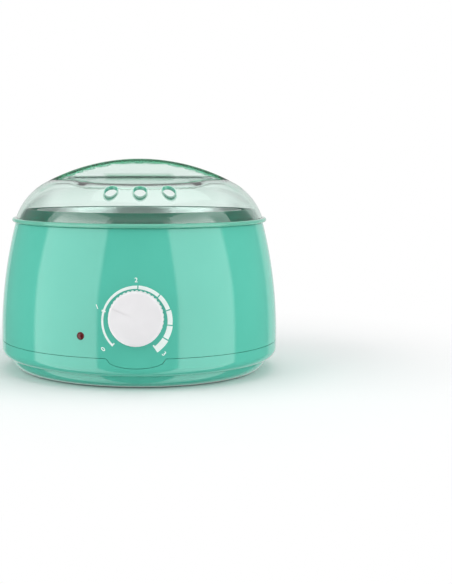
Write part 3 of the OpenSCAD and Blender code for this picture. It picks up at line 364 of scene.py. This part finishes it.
finishes = {
    # injection-moulded ABS, mint: glossy, with the faint orange-peel of a polished mould
    "mint gloss ABS": {"colours": ("#53baa5", "#57bea9"), "roughness": (0.04, 0.07), "driftSize": 40, "grainSize": 1.6,
                       "grainDepth": 0.02, "bump": 0.12, "sockets": {"IOR": 1.53}},
    # moulded ABS, white: satin, so the light on it is broad and soft
    "white satin ABS": {"colours": ("#e3e1e3", "#e8e6e8"), "roughness": (0.34, 0.42), "driftSize": 12,
                        "grainSize": 0.35, "grainDepth": 0.02, "bump": 0.3, "sockets": {"IOR": 1.53}},
    # spun aluminium with a soft polish: light, with fine rings from the wheel
    "polished spun aluminium": {"colours": ("#bcbfc0", "#c9cbcc"), "roughness": (0.34, 0.42), "driftSize": 6,
                                "grainSize": 0.45, "grainDepth": 0.012, "bump": 0.5, "turned": True,
                                "sockets": {"Metallic": 1.0}},
    # die-cast aluminium left as it is machined: duller than the pot
    "machined aluminium": {"colours": ("#b9bcbe", "#cfd1d2"), "roughness": (0.28, 0.4), "driftSize": 5,
                           "grainSize": 0.4, "grainDepth": 0.03, "bump": 0.5, "turned": True,
                           "sockets": {"Metallic": 1.0}},
    # zinc-plated steel: bluish, slightly cloudy
    "zinc-plated steel": {"colours": ("#a9adb3", "#c6c9cc"), "roughness": (0.25, 0.42), "driftSize": 3,
                          "grainSize": 0.3, "grainDepth": 0.02, "bump": 0.4, "sockets": {"Metallic": 1.0}},
    # blued spring steel
    "spring steel": {"colours": ("#6c7078", "#8b8f96"), "roughness": (0.22, 0.34), "driftSize": 2, "grainSize": 0.25,
                     "grainDepth": 0.01, "bump": 0.4, "sockets": {"Metallic": 1.0}},
    # turned brass
    "turned brass": {"colours": ("#b8923f", "#cfab58"), "roughness": (0.22, 0.36), "driftSize": 3, "grainSize": 0.25,
                     "grainDepth": 0.015, "bump": 0.4, "sockets": {"Metallic": 1.0}},
    # natural nylon of the terminal block and the clamp: milky, half matt
    "natural nylon": {"colours": ("#ddd9c8", "#e7e3d5"), "roughness": (0.42, 0.55), "driftSize": 6, "grainSize": 0.5,
                      "grainDepth": 0.03, "bump": 0.4, "sockets": {"IOR": 1.53, "Subsurface Weight": 0.15,
                                                                  "Subsurface Radius": (0.002, 0.0015, 0.001)}},
    # unglazed steatite: chalky and fine-grained
    "unglazed steatite": {"colours": ("#cdb997", "#ddcdb0"), "roughness": (0.6, 0.75), "driftSize": 4,
                          "grainSize": 0.35, "grainDepth": 0.06, "bump": 0.6, "sockets": {"IOR": 1.6}},
    # pressed mica: brown flakes with a pearly sheen
    "pressed mica": {"colours": ("#8d7448", "#b3996a"), "roughness": (0.3, 0.5), "driftSize": 1.4, "grainSize": 0.7,
                     "grainDepth": 0.05, "bump": 0.5, "sockets": {"IOR": 1.58, "Coat Weight": 0.3}},
    # needled glass fibre: off-white and fuzzy
    "needled glass fibre": {"colours": ("#d8d3c2", "#ece8db"), "roughness": (0.8, 0.95), "driftSize": 2.5,
                            "grainSize": 0.5, "grainDepth": 0.3, "bump": 0.8, "sockets": {"Sheen Weight": 0.3}},
    # silicone rubber of the seal: dark grey, softly shiny
    "grey silicone rubber": {"colours": ("#4a4d50", "#56595c"), "roughness": (0.45, 0.55), "driftSize": 5,
                             "grainSize": 0.4, "grainDepth": 0.02, "bump": 0.3, "sockets": {"IOR": 1.41}},
    # moulded rubber of the feet and the gland: near-black and matt
    "black moulded rubber": {"colours": ("#232425", "#303132"), "roughness": (0.6, 0.75), "driftSize": 4,
                             "grainSize": 0.5, "grainDepth": 0.05, "bump": 0.5, "sockets": {"IOR": 1.52}},
    # glazed ceramic of the thermal fuse
    "glazed ceramic": {"colours": ("#dedbd2", "#ebe8e1"), "roughness": (0.12, 0.2), "driftSize": 3, "grainSize": 0.6,
                       "grainDepth": 0.02, "bump": 0.3, "sockets": {"IOR": 1.55}},
    # silicone-varnished glass sleeving of the wires: black with a fine braid
    "varnished wire sleeving": {"colours": ("#141414", "#272727"), "roughness": (0.4, 0.55), "driftSize": 1.0,
                                "grainSize": 0.4, "grainDepth": 0.08, "bump": 0.6, "sockets": {"IOR": 1.5}},
    # blown glass of the neon lamp: clear with an orange tinge from the electrodes
    "neon lamp glass": {"colours": ("#e4a06a", "#eeb184"), "roughness": (0.03, 0.08), "driftSize": 2, "grainSize": 0.8,
                        "grainDepth": 0.01, "bump": 0.2, "sockets": {"IOR": 1.5, "Transmission Weight": 0.6}},
    # polycarbonate of the pilot lens, dyed deep red: dark while the lamp is off, with a small bright highlight
    "dyed red polycarbonate": {"colours": ("#560a0c", "#650e11"), "roughness": (0.1, 0.16), "driftSize": 3,
                               "grainSize": 0.6, "grainDepth": 0.01, "bump": 0.2,
                               "sockets": {"IOR": 1.58, "Specular IOR Level": 0.3, "Transmission Weight": 0.1}},
    # pad-printed enamel ink: flat white, a little of the mint shows through it
    "white pad-print ink": {"colours": ("#e9f5f1", "#f1f9f6"), "roughness": (0.3, 0.4), "driftSize": 1.5,
                            "grainSize": 0.3, "grainDepth": 0.01, "bump": 0.3, "sockets": {"IOR": 1.5}},
}
materials = {name: makeFinish(name, settings) for name, settings in finishes.items()}

# painted shade: the neck under the lid is the same plastic painted a deeper green, standing in for the lid's shade
# over it, and duller
neck = {"from": 98.55, "to": 98.9, "colour": "#2b846e", "specular": (0.5, 0.22)}
tree = materials["mint gloss ABS"].node_tree
shader = next(node for node in tree.nodes if node.type == "BSDF_PRINCIPLED")
where = addNode(tree, "ShaderNodeTexCoord")
parts = addNode(tree, "ShaderNodeSeparateXYZ", {}, {0: where.outputs["Object"]})
above = addNode(tree, "ShaderNodeMapRange", {"From Min": neck["from"] * mm, "From Max": neck["to"] * mm},
                {"Value": parts.outputs["Z"]})
# painted shade: above the deck the mint is mixed to the deeper green of the neck's shade
paintedNeckShade = addNode(tree, "ShaderNodeMixRGB", {"Color2": linear(neck["colour"])},
                 {"Fac": above.outputs["Result"], "Color1": shader.inputs["Base Color"].links[0].from_socket})
tree.links.new(paintedNeckShade.outputs[0], shader.inputs["Base Color"])
duller = addNode(tree, "ShaderNodeMapRange", {"To Min": neck["specular"][0], "To Max": neck["specular"][1]},
                 {"Value": above.outputs["Result"]})
tree.links.new(duller.outputs[0], shader.inputs["Specular IOR Level"])

# clear polystyrene of the lid with a faint green dye; its colour also carries painted light: emerald painted shade
# where the light runs along the wall, and the mint deck painted in as a painted refraction at the rim bead and the
# vents
# edge is the colour of the painted emerald shade, rim the colour of the painted mint refraction, which rimClear makes
# less clear
lidPlastic = {"roughness": 0.015, "ior": 1.56, "absorb": (42.0, 5.0, 19.0), "edge": "#3fa67c", "rim": "#74cfb5",
              "rimClear": 0.3, "waveSize": 22, "waveDepth": 0.03}
material, tree, shader, output = newMaterial("clear green-tinted polystyrene")
setSockets(shader, {"Roughness": lidPlastic["roughness"], "IOR": lidPlastic["ior"]})
# mask of the painted emerald shade, kept on the mesh
along = addNode(tree, "ShaderNodeAttribute", {"attribute_name": "paintedEmeraldShade"})
tint = addNode(tree, "ShaderNodeMixRGB", {"Color1": (1, 1, 1, 1), "Color2": linear(lidPlastic["edge"])},
               {"Fac": along.outputs["Fac"]})
# mask of the painted mint refraction at the rim bead and the vents, kept on the mesh
refractedMintMask = addNode(tree, "ShaderNodeAttribute", {"attribute_name": "paintedRefractedMint"})
tint = addNode(tree, "ShaderNodeMixRGB", {"Color2": linear(lidPlastic["rim"])},
               {"Fac": refractedMintMask.outputs["Fac"], "Color1": tint.outputs[0]})
tree.links.new(tint.outputs[0], shader.inputs["Base Color"])
through = addNode(tree, "ShaderNodeMapRange", {"To Min": 1.0, "To Max": lidPlastic["rimClear"]},
                  {"Value": refractedMintMask.outputs["Fac"]})
tree.links.new(through.outputs[0], shader.inputs["Transmission Weight"])
strongest = max(lidPlastic["absorb"]) * 1.05
clear = [1 - value / strongest for value in lidPlastic["absorb"]] + [1.0]
dye = addNode(tree, "ShaderNodeVolumeAbsorption", {"Color": clear, "Density": strongest})
tree.links.new(dye.outputs[0], output.inputs["Volume"])
where = addNode(tree, "ShaderNodeTexCoord")
wave = addNode(tree, "ShaderNodeTexNoise", {"Scale": 1 / (lidPlastic["waveSize"] * mm), "Detail": 1.0},
               {"Vector": where.outputs["Object"]})
bump = addNode(tree, "ShaderNodeBump", {"Strength": 0.2, "Distance": lidPlastic["waveDepth"] * mm},
               {"Height": wave.outputs["Fac"]})
tree.links.new(bump.outputs["Normal"], shader.inputs["Normal"])
materials["clear green-tinted polystyrene"] = material
print("materials ready:", len(materials))

# what each material slot of the record is made of
slotFinish = {
    "housing_plastic": "mint gloss ABS", "lid_plastic": "clear green-tinted polystyrene",
    "pot_aluminium": "polished spun aluminium", "well_aluminium": "machined aluminium",
    "zinc_steel": "zinc-plated steel", "spring_steel": "spring steel", "brass": "turned brass",
    "knob_plastic": "white satin ABS", "block_plastic": "natural nylon", "steatite": "unglazed steatite",
    "mica": "pressed mica", "glass_fibre": "needled glass fibre", "silicone": "grey silicone rubber",
    "rubber": "black moulded rubber", "lens_red": "dyed red polycarbonate", "lamp_glass": "neon lamp glass",
    "fuse_ceramic": "glazed ceramic", "wire_sleeve": "varnished wire sleeving",
}
nodeSlot = {entry["node"]: entry["material_slot"] for entry in frame["record"]["subparts"]}
for node, thing in nodes.items():
    thing.data.materials.clear()
    thing.data.materials.append(materials[slotFinish[nodeSlot[node]]])


# housing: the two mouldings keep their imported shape, and their outer skin is shaded as the true curve

barrel = {"widest": 92.5, "belly": 22.0, "curve": 300.0, "tuckR": 86.1, "tuckZ": 15.0, "tuck": 6.4, "foot": 8.0,
          "footR": 77.5, "footZ": 8.6, "footEnd": 85.6, "near": 0.08, "facing": 0.93}


def barrelRadius(z):
    rise = np.maximum(z - barrel["belly"], 0)
    return barrel["widest"] - barrel["curve"] + np.sqrt(barrel["curve"] ** 2 - rise ** 2)


def outerSkin(r, z):
    # distance from the outer skin, and the skin's normal as (outwards, up)
    rise = np.maximum(z - barrel["belly"], 0)
    off, out, up = r - barrelRadius(z), np.sqrt(barrel["curve"] ** 2 - rise ** 2), rise
    inTuck = (z < barrel["tuckZ"]) & (r > barrel["tuckR"])
    inFoot = (z < barrel["footZ"] + 0.01) & (r < barrel["footEnd"])
    for cx, cz, size, zone in ((barrel["tuckR"], barrel["tuckZ"], barrel["tuck"], inTuck),
                               (barrel["footR"], barrel["footZ"], barrel["foot"], inFoot)):
        away = np.hypot(r - cx, z - cz)
        off = np.where(zone, away - size, off)
        out = np.where(zone, r - cx, out)
        up = np.where(zone, z - cz, up)
    length = np.maximum(np.hypot(out, up), 1e-9)
    return off, out / length, up / length


def shadeOuterSkin(mesh):
    points, corners, faceOf = meshArrays(mesh)
    normals = cornerNormals(mesh)
    faces = np.zeros(len(mesh.polygons) * 3)
    mesh.polygons.foreach_get("normal", faces)
    faces = faces.reshape(-1, 3)[faceOf]
    at = points[corners] / mm
    r = np.hypot(at[:, 0], at[:, 1])
    off, out, up = outerSkin(r, at[:, 2])
    true = np.stack([at[:, 0] / np.maximum(r, 1e-9) * out, at[:, 1] / np.maximum(r, 1e-9) * out, up], 1)
    good = (np.abs(off) < barrel["near"]) & ((true * faces).sum(1) > barrel["facing"])
    count = np.bincount(faceOf, weights=good, minlength=len(mesh.polygons))[faceOf]
    good &= count == np.bincount(faceOf)[faceOf]
    normals[good] = true[good]
    mesh.normals_split_custom_set([tuple(n) for n in normals])
    return int(good.sum())


for node in ("upper_housing", "base_housing"):
    mesh = mergedCopy(node + "_skin", node)
    shaded = shadeOuterSkin(mesh)
    addPiece(node + "_moulding", mesh, materials["mint gloss ABS"], "housing", "housing_plastic", node)
    print(node, "corners on the true curve:", shaded)

for node, body in (("wax_pot", "pot"), ("heating_well", "housing"), ("control_knob", "knob"),
                   ("indicator_lens", "housing"), ("cord_gland", "housing")):
    addPiece(node + "_dressed", mergedCopy(node + "_dressed", node), materials[slotFinish[nodeSlot[node]]], body,
             nodeSlot[node], node)

# what repeats round the axis is set by a node tree from one of its solids
rings = {"rubber_feet": 4, "well_brackets": 3, "bracket_screws": 3}
for node, count in rings.items():
    finish = materials[slotFinish[nodeSlot[node]]]
    addPiece(node + "_ring", ringCopy(node + "_ring", node, count, finish), finish, "housing", nodeSlot[node], node)
print("rings set:", rings)


# lid: two skins over the same plan, joined by the vent walls and the rim bead

lid = {
    "deck": 98.5, "height": 41.6, "wall": 1.9, "footR": 82.35, "bead": 2.7, "rimR": 85.0, "archR": 132.6,
    "shoulderR": 40.8, "joinAngle": 28.4, "crown": 29.7, "crownR": 900.0, "edgeR": 12.0, "gripTop": 6.5,
    "gripFoot": 8.5, "gripEdge": 2.2, "gripEdgeInside": 0.7, "fillet": 0.7, "recessX": 37.0, "recessY": 8.0,
    "recessStep": 0.2, "recessSlope": 3.9, "recessSoft": 5.0, "recessBlend": 1.6, "ventD": 7.9, "ventR": 68.3,
    "ventStep": 15.1, "turn": 1.6, "gateR": 2.4, "gateH": 1.4,
    # the mesh: where its rings start, how many steps go round, its cells and the fine ones at the grip and the recess
    "ringFrom": 66.0, "around": 216, "ventSteps": 48, "gateSteps": 32, "cell": 2.2, "fine": 0.4, "recessFine": 0.8,
    # where the painted emerald shade lies: depth of the crest, half length, half width and fade of the grip's foot
    # line
    "crestDeep": 2.0, "crestFade": 0.4, "lineHalf": 24.0, "lineWide": 0.5, "lineFade": 3.0,
}
archZ = lid["deck"] + lid["height"] - lid["archR"]
reach = lid["archR"] - lid["shoulderR"]
shoulderX = reach * math.sin(math.radians(lid["joinAngle"]))
shoulderZ = archZ + reach * math.cos(math.radians(lid["joinAngle"]))


def blend(a, b, k):
    # smooth maximum of two heights; k is how far the blend reaches
    h = np.clip(0.5 + 0.5 * (a - b) / k, 0, 1)
    return b * (1 - h) + a * h + k * h * (1 - h)


def domeHeight(r, off):
    edge, ball, shoulder = lid["edgeR"] - off, lid["crownR"] - off, lid["shoulderR"] - off
    ballZ = lid["deck"] + lid["crown"] - lid["crownR"]
    gapZ = shoulderZ - ballZ
    gap = math.hypot(shoulderX, gapZ)
    along = ((ball - edge) ** 2 - (shoulder - edge) ** 2 + gap ** 2) / (2 * gap)
    across = math.sqrt((ball - edge) ** 2 - along ** 2)
    ex = (along * shoulderX + across * gapZ) / gap
    ez = ballZ + (along * gapZ - across * shoulderX) / gap
    ballEnd = ball * math.cos(math.atan2(ez - ballZ, ex))
    arcStart = shoulderX + shoulder * math.cos(math.atan2(ez - shoulderZ, ex - shoulderX))
    crown = ballZ + np.sqrt(ball ** 2 - r ** 2)
    soft = ez + np.sqrt(np.maximum(edge ** 2 - (r - ex) ** 2, 0))
    side = shoulderZ + np.sqrt(np.maximum(shoulder ** 2 - (r - shoulderX) ** 2, 0))
    return np.where(r < ballEnd, crown, np.where(r < arcStart, soft, side))


def lidHeight(x, y, off):
    r, d = np.hypot(x, y), np.abs(y)
    dome = domeHeight(r, off)
    slope = math.radians(lid["recessSlope"])
    plane = (lid["deck"] + lid["crown"] - lid["recessStep"] - off / math.cos(slope)
             - math.tan(slope) * (d - lid["recessY"] + off))
    t = np.clip((np.abs(x) - lid["recessX"] - off + lid["recessSoft"]) / (2 * lid["recessSoft"]), 0, 1)
    t = t * t * (3 - 2 * t)
    base = -blend(-dome, -plane, lid["recessBlend"]) * (1 - t) + dome * t
    top, halfTop, halfFoot = lid["archR"] - off, lid["gripTop"] - off, lid["gripFoot"] - off
    topZ, footZ = archZ + top, lid["deck"] + lid["crown"]
    draft = (halfFoot - halfTop) / (topZ - footZ)
    lean = math.sqrt(1 + draft * draft)
    edge = lid["gripEdge"] if off == 0 else lid["gripEdgeInside"]
    crest = archZ + np.sqrt(top ** 2 - np.minimum(r, 80) ** 2)
    middle = halfTop + draft * (topZ - crest + edge) - lean * edge
    rounded = crest - edge + np.sqrt(np.maximum(edge ** 2 - np.clip(d - middle, 0, edge) ** 2, 0))
    flank = topZ - (d - halfTop) / draft
    grip = np.where(d <= middle, crest, np.where(d - middle <= edge / lean, rounded, flank))
    k = np.clip(0.5 * (crest - base), 0.02, lid["fillet"])
    joined = blend(base, grip, k)
    end = top * math.sin(math.radians(lid["joinAngle"] - 0.2))
    height = np.where(r < end, joined, base)
    if off > 0:
        height = height - lid["gateH"] * np.clip((lid["gateR"] - r) / 0.1 + 0.5, 0, 1)
    return height


def gradedLines(limit, zones, cell, fine):
    # positions from 0 to the limit, close together inside the zones and mirrored to the other side
    places, at = [0.0], 0.0
    while at < limit:
        at += fine if any(low <= at < high for low, high in zones) else cell
        places.append(at)
    return sorted({round(s * p, 4) for p in places for s in (1, -1)})


ventAngles = [math.radians(270 + i * lid["ventStep"]) for i in (-1, 0, 1)]
ventAt = [(lid["ventR"] * math.cos(a), lid["ventR"] * math.sin(a)) for a in ventAngles]


def skinPlan(off, footR):
    # plan of one skin: a grid that follows the grip and the recesses, rings beyond it, and the vent circles
    sideHalf = lid["gripTop"] - off
    ys = gradedLines(lid["ringFrom"], [(sideHalf - 3.0, sideHalf + 3.2)], lid["cell"], lid["fine"])
    xs = gradedLines(lid["ringFrom"], [(34.5, 41.5)], lid["cell"], lid["recessFine"])
    plan = [(x, y) for x in xs for y in ys if math.hypot(x, y) < lid["ringFrom"] - 1.0]
    shoulder = lid["shoulderR"] - off
    first = math.acos(min((lid["ringFrom"] - shoulderX) / shoulder, 1))
    last = math.acos((footR - shoulderX) / shoulder)
    count = 16
    radii = [shoulderX + shoulder * math.cos(first + (last - first) * i / count) for i in range(count + 1)]
    for radius in radii[:-1]:
        plan += circle(radius, lid["around"])
    if off > 0:
        plan = [p for p in plan if math.hypot(*p) > lid["gateR"] + 0.6]
        plan += [(0.0, 0.0)]
        for radius in (1.2, lid["gateR"] - 0.06, lid["gateR"] + 0.06, lid["gateR"] + 0.5):
            plan += circle(radius, lid["gateSteps"])
    clear = lid["ventD"] / 2 + 1.7
    plan = [p for p in plan if all(math.hypot(p[0] - v[0], p[1] - v[1]) > clear for v in ventAt)]
    for v in ventAt:
        for extra in (0.45, 1.1):
            plan += circle(lid["ventD"] / 2 + extra, lid["ventSteps"], *v)
    loops, edges = [], []
    for loop in [circle(footR, lid["around"])] + [circle(lid["ventD"] / 2, lid["ventSteps"], *v) for v in ventAt]:
        start = len(plan)
        plan += loop
        loops.append(list(range(start, len(plan))))
        edges += [(start + i, start + (i + 1) % len(loop)) for i in range(len(loop))]
    points, _, faces, origins, _, _ = delaunay_2d_cdt([Vector(p) for p in plan], edges, [], 0, 1e-5)
    lookup = {old: new for new, olds in enumerate(origins) for old in olds}
    points = np.array([(p.x, p.y) for p in points])
    kept = []
    for face in faces:
        centre = points[list(face)].mean(0)
        if all(math.hypot(centre[0] - v[0], centre[1] - v[1]) > lid["ventD"] / 2 * 0.999 for v in ventAt):
            kept.append(list(face))
    loops = [[lookup[i] for i in loop] for loop in loops]
    return points, kept, loops[0], loops[1:]


def paintedLidLight(points):
    # masks of painted light: 1 for painted emerald shade where the wall is looked along, at the grip's crest and foot,
    # and 1 for the painted mint refraction where it is thick, at the vents and the rim bead
    x, y, z = points.T
    away = np.hypot(x, z - archZ)
    crest = np.clip((away - lid["archR"] + lid["crestDeep"]) / lid["crestFade"], 0, 1)
    crest = crest * (np.hypot(x, y) < 70) * (np.abs(y) < 12)
    foot = np.clip(1 - np.abs(y + lid["gripFoot"]) / lid["lineWide"], 0, 1)
    foot = foot * np.clip((lid["lineHalf"] - np.abs(x)) / lid["lineFade"], 0, 1)
    foot = foot * (np.abs(z - lid["deck"] - lid["crown"] + 0.2) < 0.9)
    vents = np.zeros(len(points))
    for vx, vy in ventAt:
        vents = np.maximum(vents, np.clip((lid["ventD"] / 2 + 0.5 - np.hypot(x - vx, y - vy)) / 0.1, 0, 1))
    bead = np.clip((np.hypot(x, y) - lid["footR"] - 0.2) / 0.3, 0, 1)
    return np.maximum(crest, foot), np.maximum(vents, bead)


def buildLid():
    innerR = lid["footR"] - lid["wall"]
    points, faces, group = [], [], []
    loops = {}
    for off, footR in ((0.0, lid["footR"]), (lid["wall"], innerR)):
        plan, triangles, border, vents = skinPlan(off, footR)
        z = lidHeight(plan[:, 0], plan[:, 1], off)
        base = len(points)
        points += [(x, y, h) for (x, y), h in zip(plan, z)]
        for triangle in triangles:
            a, b, c = (plan[i] for i in triangle)
            up = (b[0] - a[0]) * (c[1] - a[1]) - (b[1] - a[1]) * (c[0] - a[0]) > 0
            if up != (off == 0):
                triangle = triangle[::-1]
            faces.append([base + i for i in triangle])
            group.append(1 if off == 0 else 2)
        loops[off] = ([base + i for i in border], [[base + i for i in c] for c in vents])
    outer, inner = loops[0.0], loops[lid["wall"]]
    for top, low in zip(outer[1], inner[1]):
        for i in range(len(top)):
            j = (i + 1) % len(top)
            faces.append([top[i], top[j], low[j], low[i]])
            group.append(0)
    bead = lid["bead"] / 2
    outline = [(lid["footR"] + 0.35, lid["deck"] + lid["bead"] + 0.02)]
    outline += arcPoints(lid["rimR"] - bead, lid["deck"] + bead, bead, 90, -90, 10)
    outline += [(innerR, lid["deck"])]
    rings = [outer[0]]
    around = lid["around"]
    for radius, height in outline:
        rings.append(list(range(len(points), len(points) + around)))
        points += [(x, y, height) for x, y in circle(radius, around)]
    rings.append(inner[0])
    for high, low in zip(rings, rings[1:]):
        for i in range(around):
            j = (i + 1) % around
            faces.append([high[j], high[i], low[i], low[j]])
            group.append(0)
    points = np.array(points)
    normals = {}
    step = 0.02
    for kind, off in ((1, 0.0), (2, lid["wall"])):
        x, y = points[:, 0], points[:, 1]
        gx = (lidHeight(x + step, y, off) - lidHeight(x - step, y, off)) / (2 * step)
        gy = (lidHeight(x, y + step, off) - lidHeight(x, y - step, off)) / (2 * step)
        n = np.stack([-gx, -gy, np.ones(len(points))], 1)
        n /= np.linalg.norm(n, axis=1)[:, None]
        normals[kind] = n if kind == 1 else -n
    turn = math.radians(lid["turn"])
    spin = np.array([[math.cos(turn), -math.sin(turn), 0], [math.sin(turn), math.cos(turn), 0], [0, 0, 1]])
    mesh = bpy.data.meshes.new("lid_shell")
    mesh.from_pydata([tuple(p) for p in (points @ spin.T) * mm], [], faces)
    smoothCorners(mesh, 40)
    corner = cornerNormals(mesh)
    _, corners, faceOf = meshArrays(mesh)
    kinds = np.array(group)[faceOf]
    nearGate = np.hypot(points[corners, 0], points[corners, 1]) < lid["gateR"] + 0.4
    for kind in (1, 2):
        pick = (kinds == kind) & ~(nearGate & (kind == 2))
        corner[pick] = normals[kind][corners[pick]] @ spin.T
    mesh.normals_split_custom_set([tuple(n) for n in corner])
    # the two masks of painted light are stored on the mesh's points
    for name, values in zip(("paintedEmeraldShade", "paintedRefractedMint"), paintedLidLight(points)):
        mesh.attributes.new(name, "FLOAT", "POINT").data.foreach_set("value", values)
    return mesh


addPiece("lid_shell", buildLid(), materials["clear green-tinted polystyrene"], "lid", "lid_plastic", "lid")
print("lid ready")


# dial print: bands and numbers laid on the barrel, seen along the dial's axis

dial = {"z": 45.2, "drop": 1.9, "proud": 0.05, "sunk": 0.03, "ringR": 20.4}
dialTilt = math.asin((dial["z"] - barrel["belly"]) / barrel["curve"])
dialPoint = np.array([0, -float(barrelRadius(np.array(dial["z"]))), dial["z"]])
dialOut = np.array([0, -math.cos(dialTilt), math.sin(dialTilt)])
dialUp = np.array([0, math.sin(dialTilt), math.cos(dialTilt)])
dialRight = np.array([1.0, 0, 0])


def onBarrel(flat, lift):
    # moves points of the dial's plane along its axis to the housing's skin
    flat = np.asarray(flat, float)
    points = dialPoint + flat[:, :1] * dialRight + flat[:, 1:2] * dialUp
    for _ in range(12):
        r = np.hypot(points[:, 0], points[:, 1])
        off, out, up = outerSkin(r, points[:, 2])
        normal = np.stack([points[:, 0] / r * out, points[:, 1] / r * out, up], 1)
        points = points - ((off - lift) / (normal @ dialOut))[:, None] * dialOut
    return points


def printPiece(flat, faces):
    # a thin sheet of ink with a top, a hidden back and its edge
    count = len(flat)
    points = np.concatenate([onBarrel(flat, dial["proud"]), onBarrel(flat, -dial["sunk"])])
    allFaces = [list(f) for f in faces] + [[i + count for i in reversed(f)] for f in faces]
    borders = {}
    for face in faces:
        for a, b in zip(face, list(face[1:]) + [face[0]]):
            borders[(a, b)] = borders.get((a, b), 0) + 1
    for a, b in borders:
        if (b, a) not in borders:
            allFaces.append([b, a, a + count, b + count])
    return points, allFaces


def bandGrid(start, end, inner, outer, steps=None):
    # a band round the ring's centre between two angles, counted from the right hand side
    steps = steps or max(2, int(abs(end - start) / 1.5))
    flat, faces = [], []
    for i in range(steps + 1):
        t = i / steps
        a = math.radians(start + (end - start) * t)
        low, high = (v(t) if callable(v) else v for v in (inner, outer))
        for radius in (low, high):
            flat.append((radius * math.cos(a), radius * math.sin(a) - dial["drop"]))
    for i in range(steps):
        faces.append([2 * i, 2 * i + 1, 2 * i + 3, 2 * i + 2])
    return flat, faces


scale = {
    # angles of the ring: the off end, the tick for 1, and the gaps between the blocks up to the high end
    "offAt": 225.6, "oneAt": 163.0, "gaps": (87.0, 48.0, 19.0, -7.0, -31.0, -54.4), "gap": 2.0, "tickHalf": 1.4,
    "thin": 1.3, "thinEnd": 2.0, "blockInner": (19.3, 19.1, 18.95, 18.85, 18.8),
    "blockOuter": (21.5, 21.7, 22.0, 22.3, 22.8),
    # text, place from the knob's centre and turn
    "numbers": (("0", (-19.9, -18.9), 45), ("1", (-23.6, 6.7), 20), ("2", (0.0, 22.9), 0), ("3", (16.9, -21.5), -45)),
    "numberHeight": 3.9,
}


def makeScale():
    sheets = []
    r = dial["ringR"]
    for start, end, w0, w1 in ((scale["offAt"], scale["oneAt"] + 1.2, scale["thin"], scale["thin"]),
                               (scale["oneAt"] - 1.2, scale["gaps"][0] + scale["gap"] / 2, scale["thin"],
                                scale["thinEnd"])):
        sheets.append(bandGrid(start, end, lambda t, a=w0, b=w1: r - (a + (b - a) * t) / 2,
                               lambda t, a=w0, b=w1: r + (a + (b - a) * t) / 2))
    for i in range(5):
        sheets.append(bandGrid(scale["gaps"][i] - scale["gap"] / 2, scale["gaps"][i + 1] + scale["gap"] / 2,
                               scale["blockInner"][i], scale["blockOuter"][i]))
    for angle, inner, outer in ((scale["offAt"], r - 1.7, r + 0.65), (scale["oneAt"], r - 1.2, r + 1.3),
                                (scale["gaps"][5], r - 2.6, r + 2.4)):
        sheets.append(bandGrid(angle - scale["tickHalf"], angle + scale["tickHalf"], inner, outer, 2))
    return sheets


def numberSheet(text, place, turn):
    curve = bpy.data.curves.new("number", "FONT")
    curve.body = text
    curve.size = scale["numberHeight"]
    curve.offset = 0.05
    curve.align_x, curve.align_y = "CENTER", "CENTER"
    curve.resolution_u = 6
    holder = bpy.data.objects.new("number", curve)
    bpy.context.scene.collection.objects.link(holder)
    bpy.context.view_layer.update()
    mesh = bpy.data.meshes.new_from_object(holder.evaluated_get(bpy.context.evaluated_depsgraph_get()))
    bpy.data.objects.remove(holder)
    bpy.data.curves.remove(curve)
    a = math.radians(turn)
    flat = np.array([(v.co.x, v.co.y) for v in mesh.vertices])
    spin = np.array([[math.cos(a), math.sin(a)], [-math.sin(a), math.cos(a)]])
    flat = (flat - (flat.max(0) + flat.min(0)) / 2) @ spin
    faces = [list(p.vertices) if p.normal.z > 0 else list(p.vertices)[::-1] for p in mesh.polygons]
    bpy.data.meshes.remove(mesh)
    return flat + np.array(place), faces


def joinSheets(name, sheets):
    points, faces = [], []
    for flat, sheetFaces in sheets:
        area = sum(flat[a][0] * flat[b][1] - flat[b][0] * flat[a][1]
                   for f in sheetFaces for a, b in ((f[0], f[1]), (f[1], f[2]), (f[2], f[0])))
        if area < 0:
            sheetFaces = [list(reversed(f)) for f in sheetFaces]
        sheetPoints, allFaces = printPiece(flat, sheetFaces)
        base = len(points)
        points += [tuple(p * mm) for p in sheetPoints]
        faces += [[base + i for i in f] for f in allFaces]
    mesh = bpy.data.meshes.new(name)
    mesh.from_pydata(points, [], faces)
    return mesh


ink = materials["white pad-print ink"]
addPiece("dial_scale", joinSheets("dial_scale", makeScale()), ink, "housing", "knob_plastic")
addPiece("dial_numbers", joinSheets("dial_numbers", [numberSheet(*entry) for entry in scale["numbers"]]), ink,
         "housing", "knob_plastic")
print("dial print ready")

scene = bpy.context.scene
scene.view_settings.view_transform = "Standard"
scene.cycles.max_bounces = 28
scene.cycles.transmission_bounces = 28
scene.cycles.glossy_bounces = 8
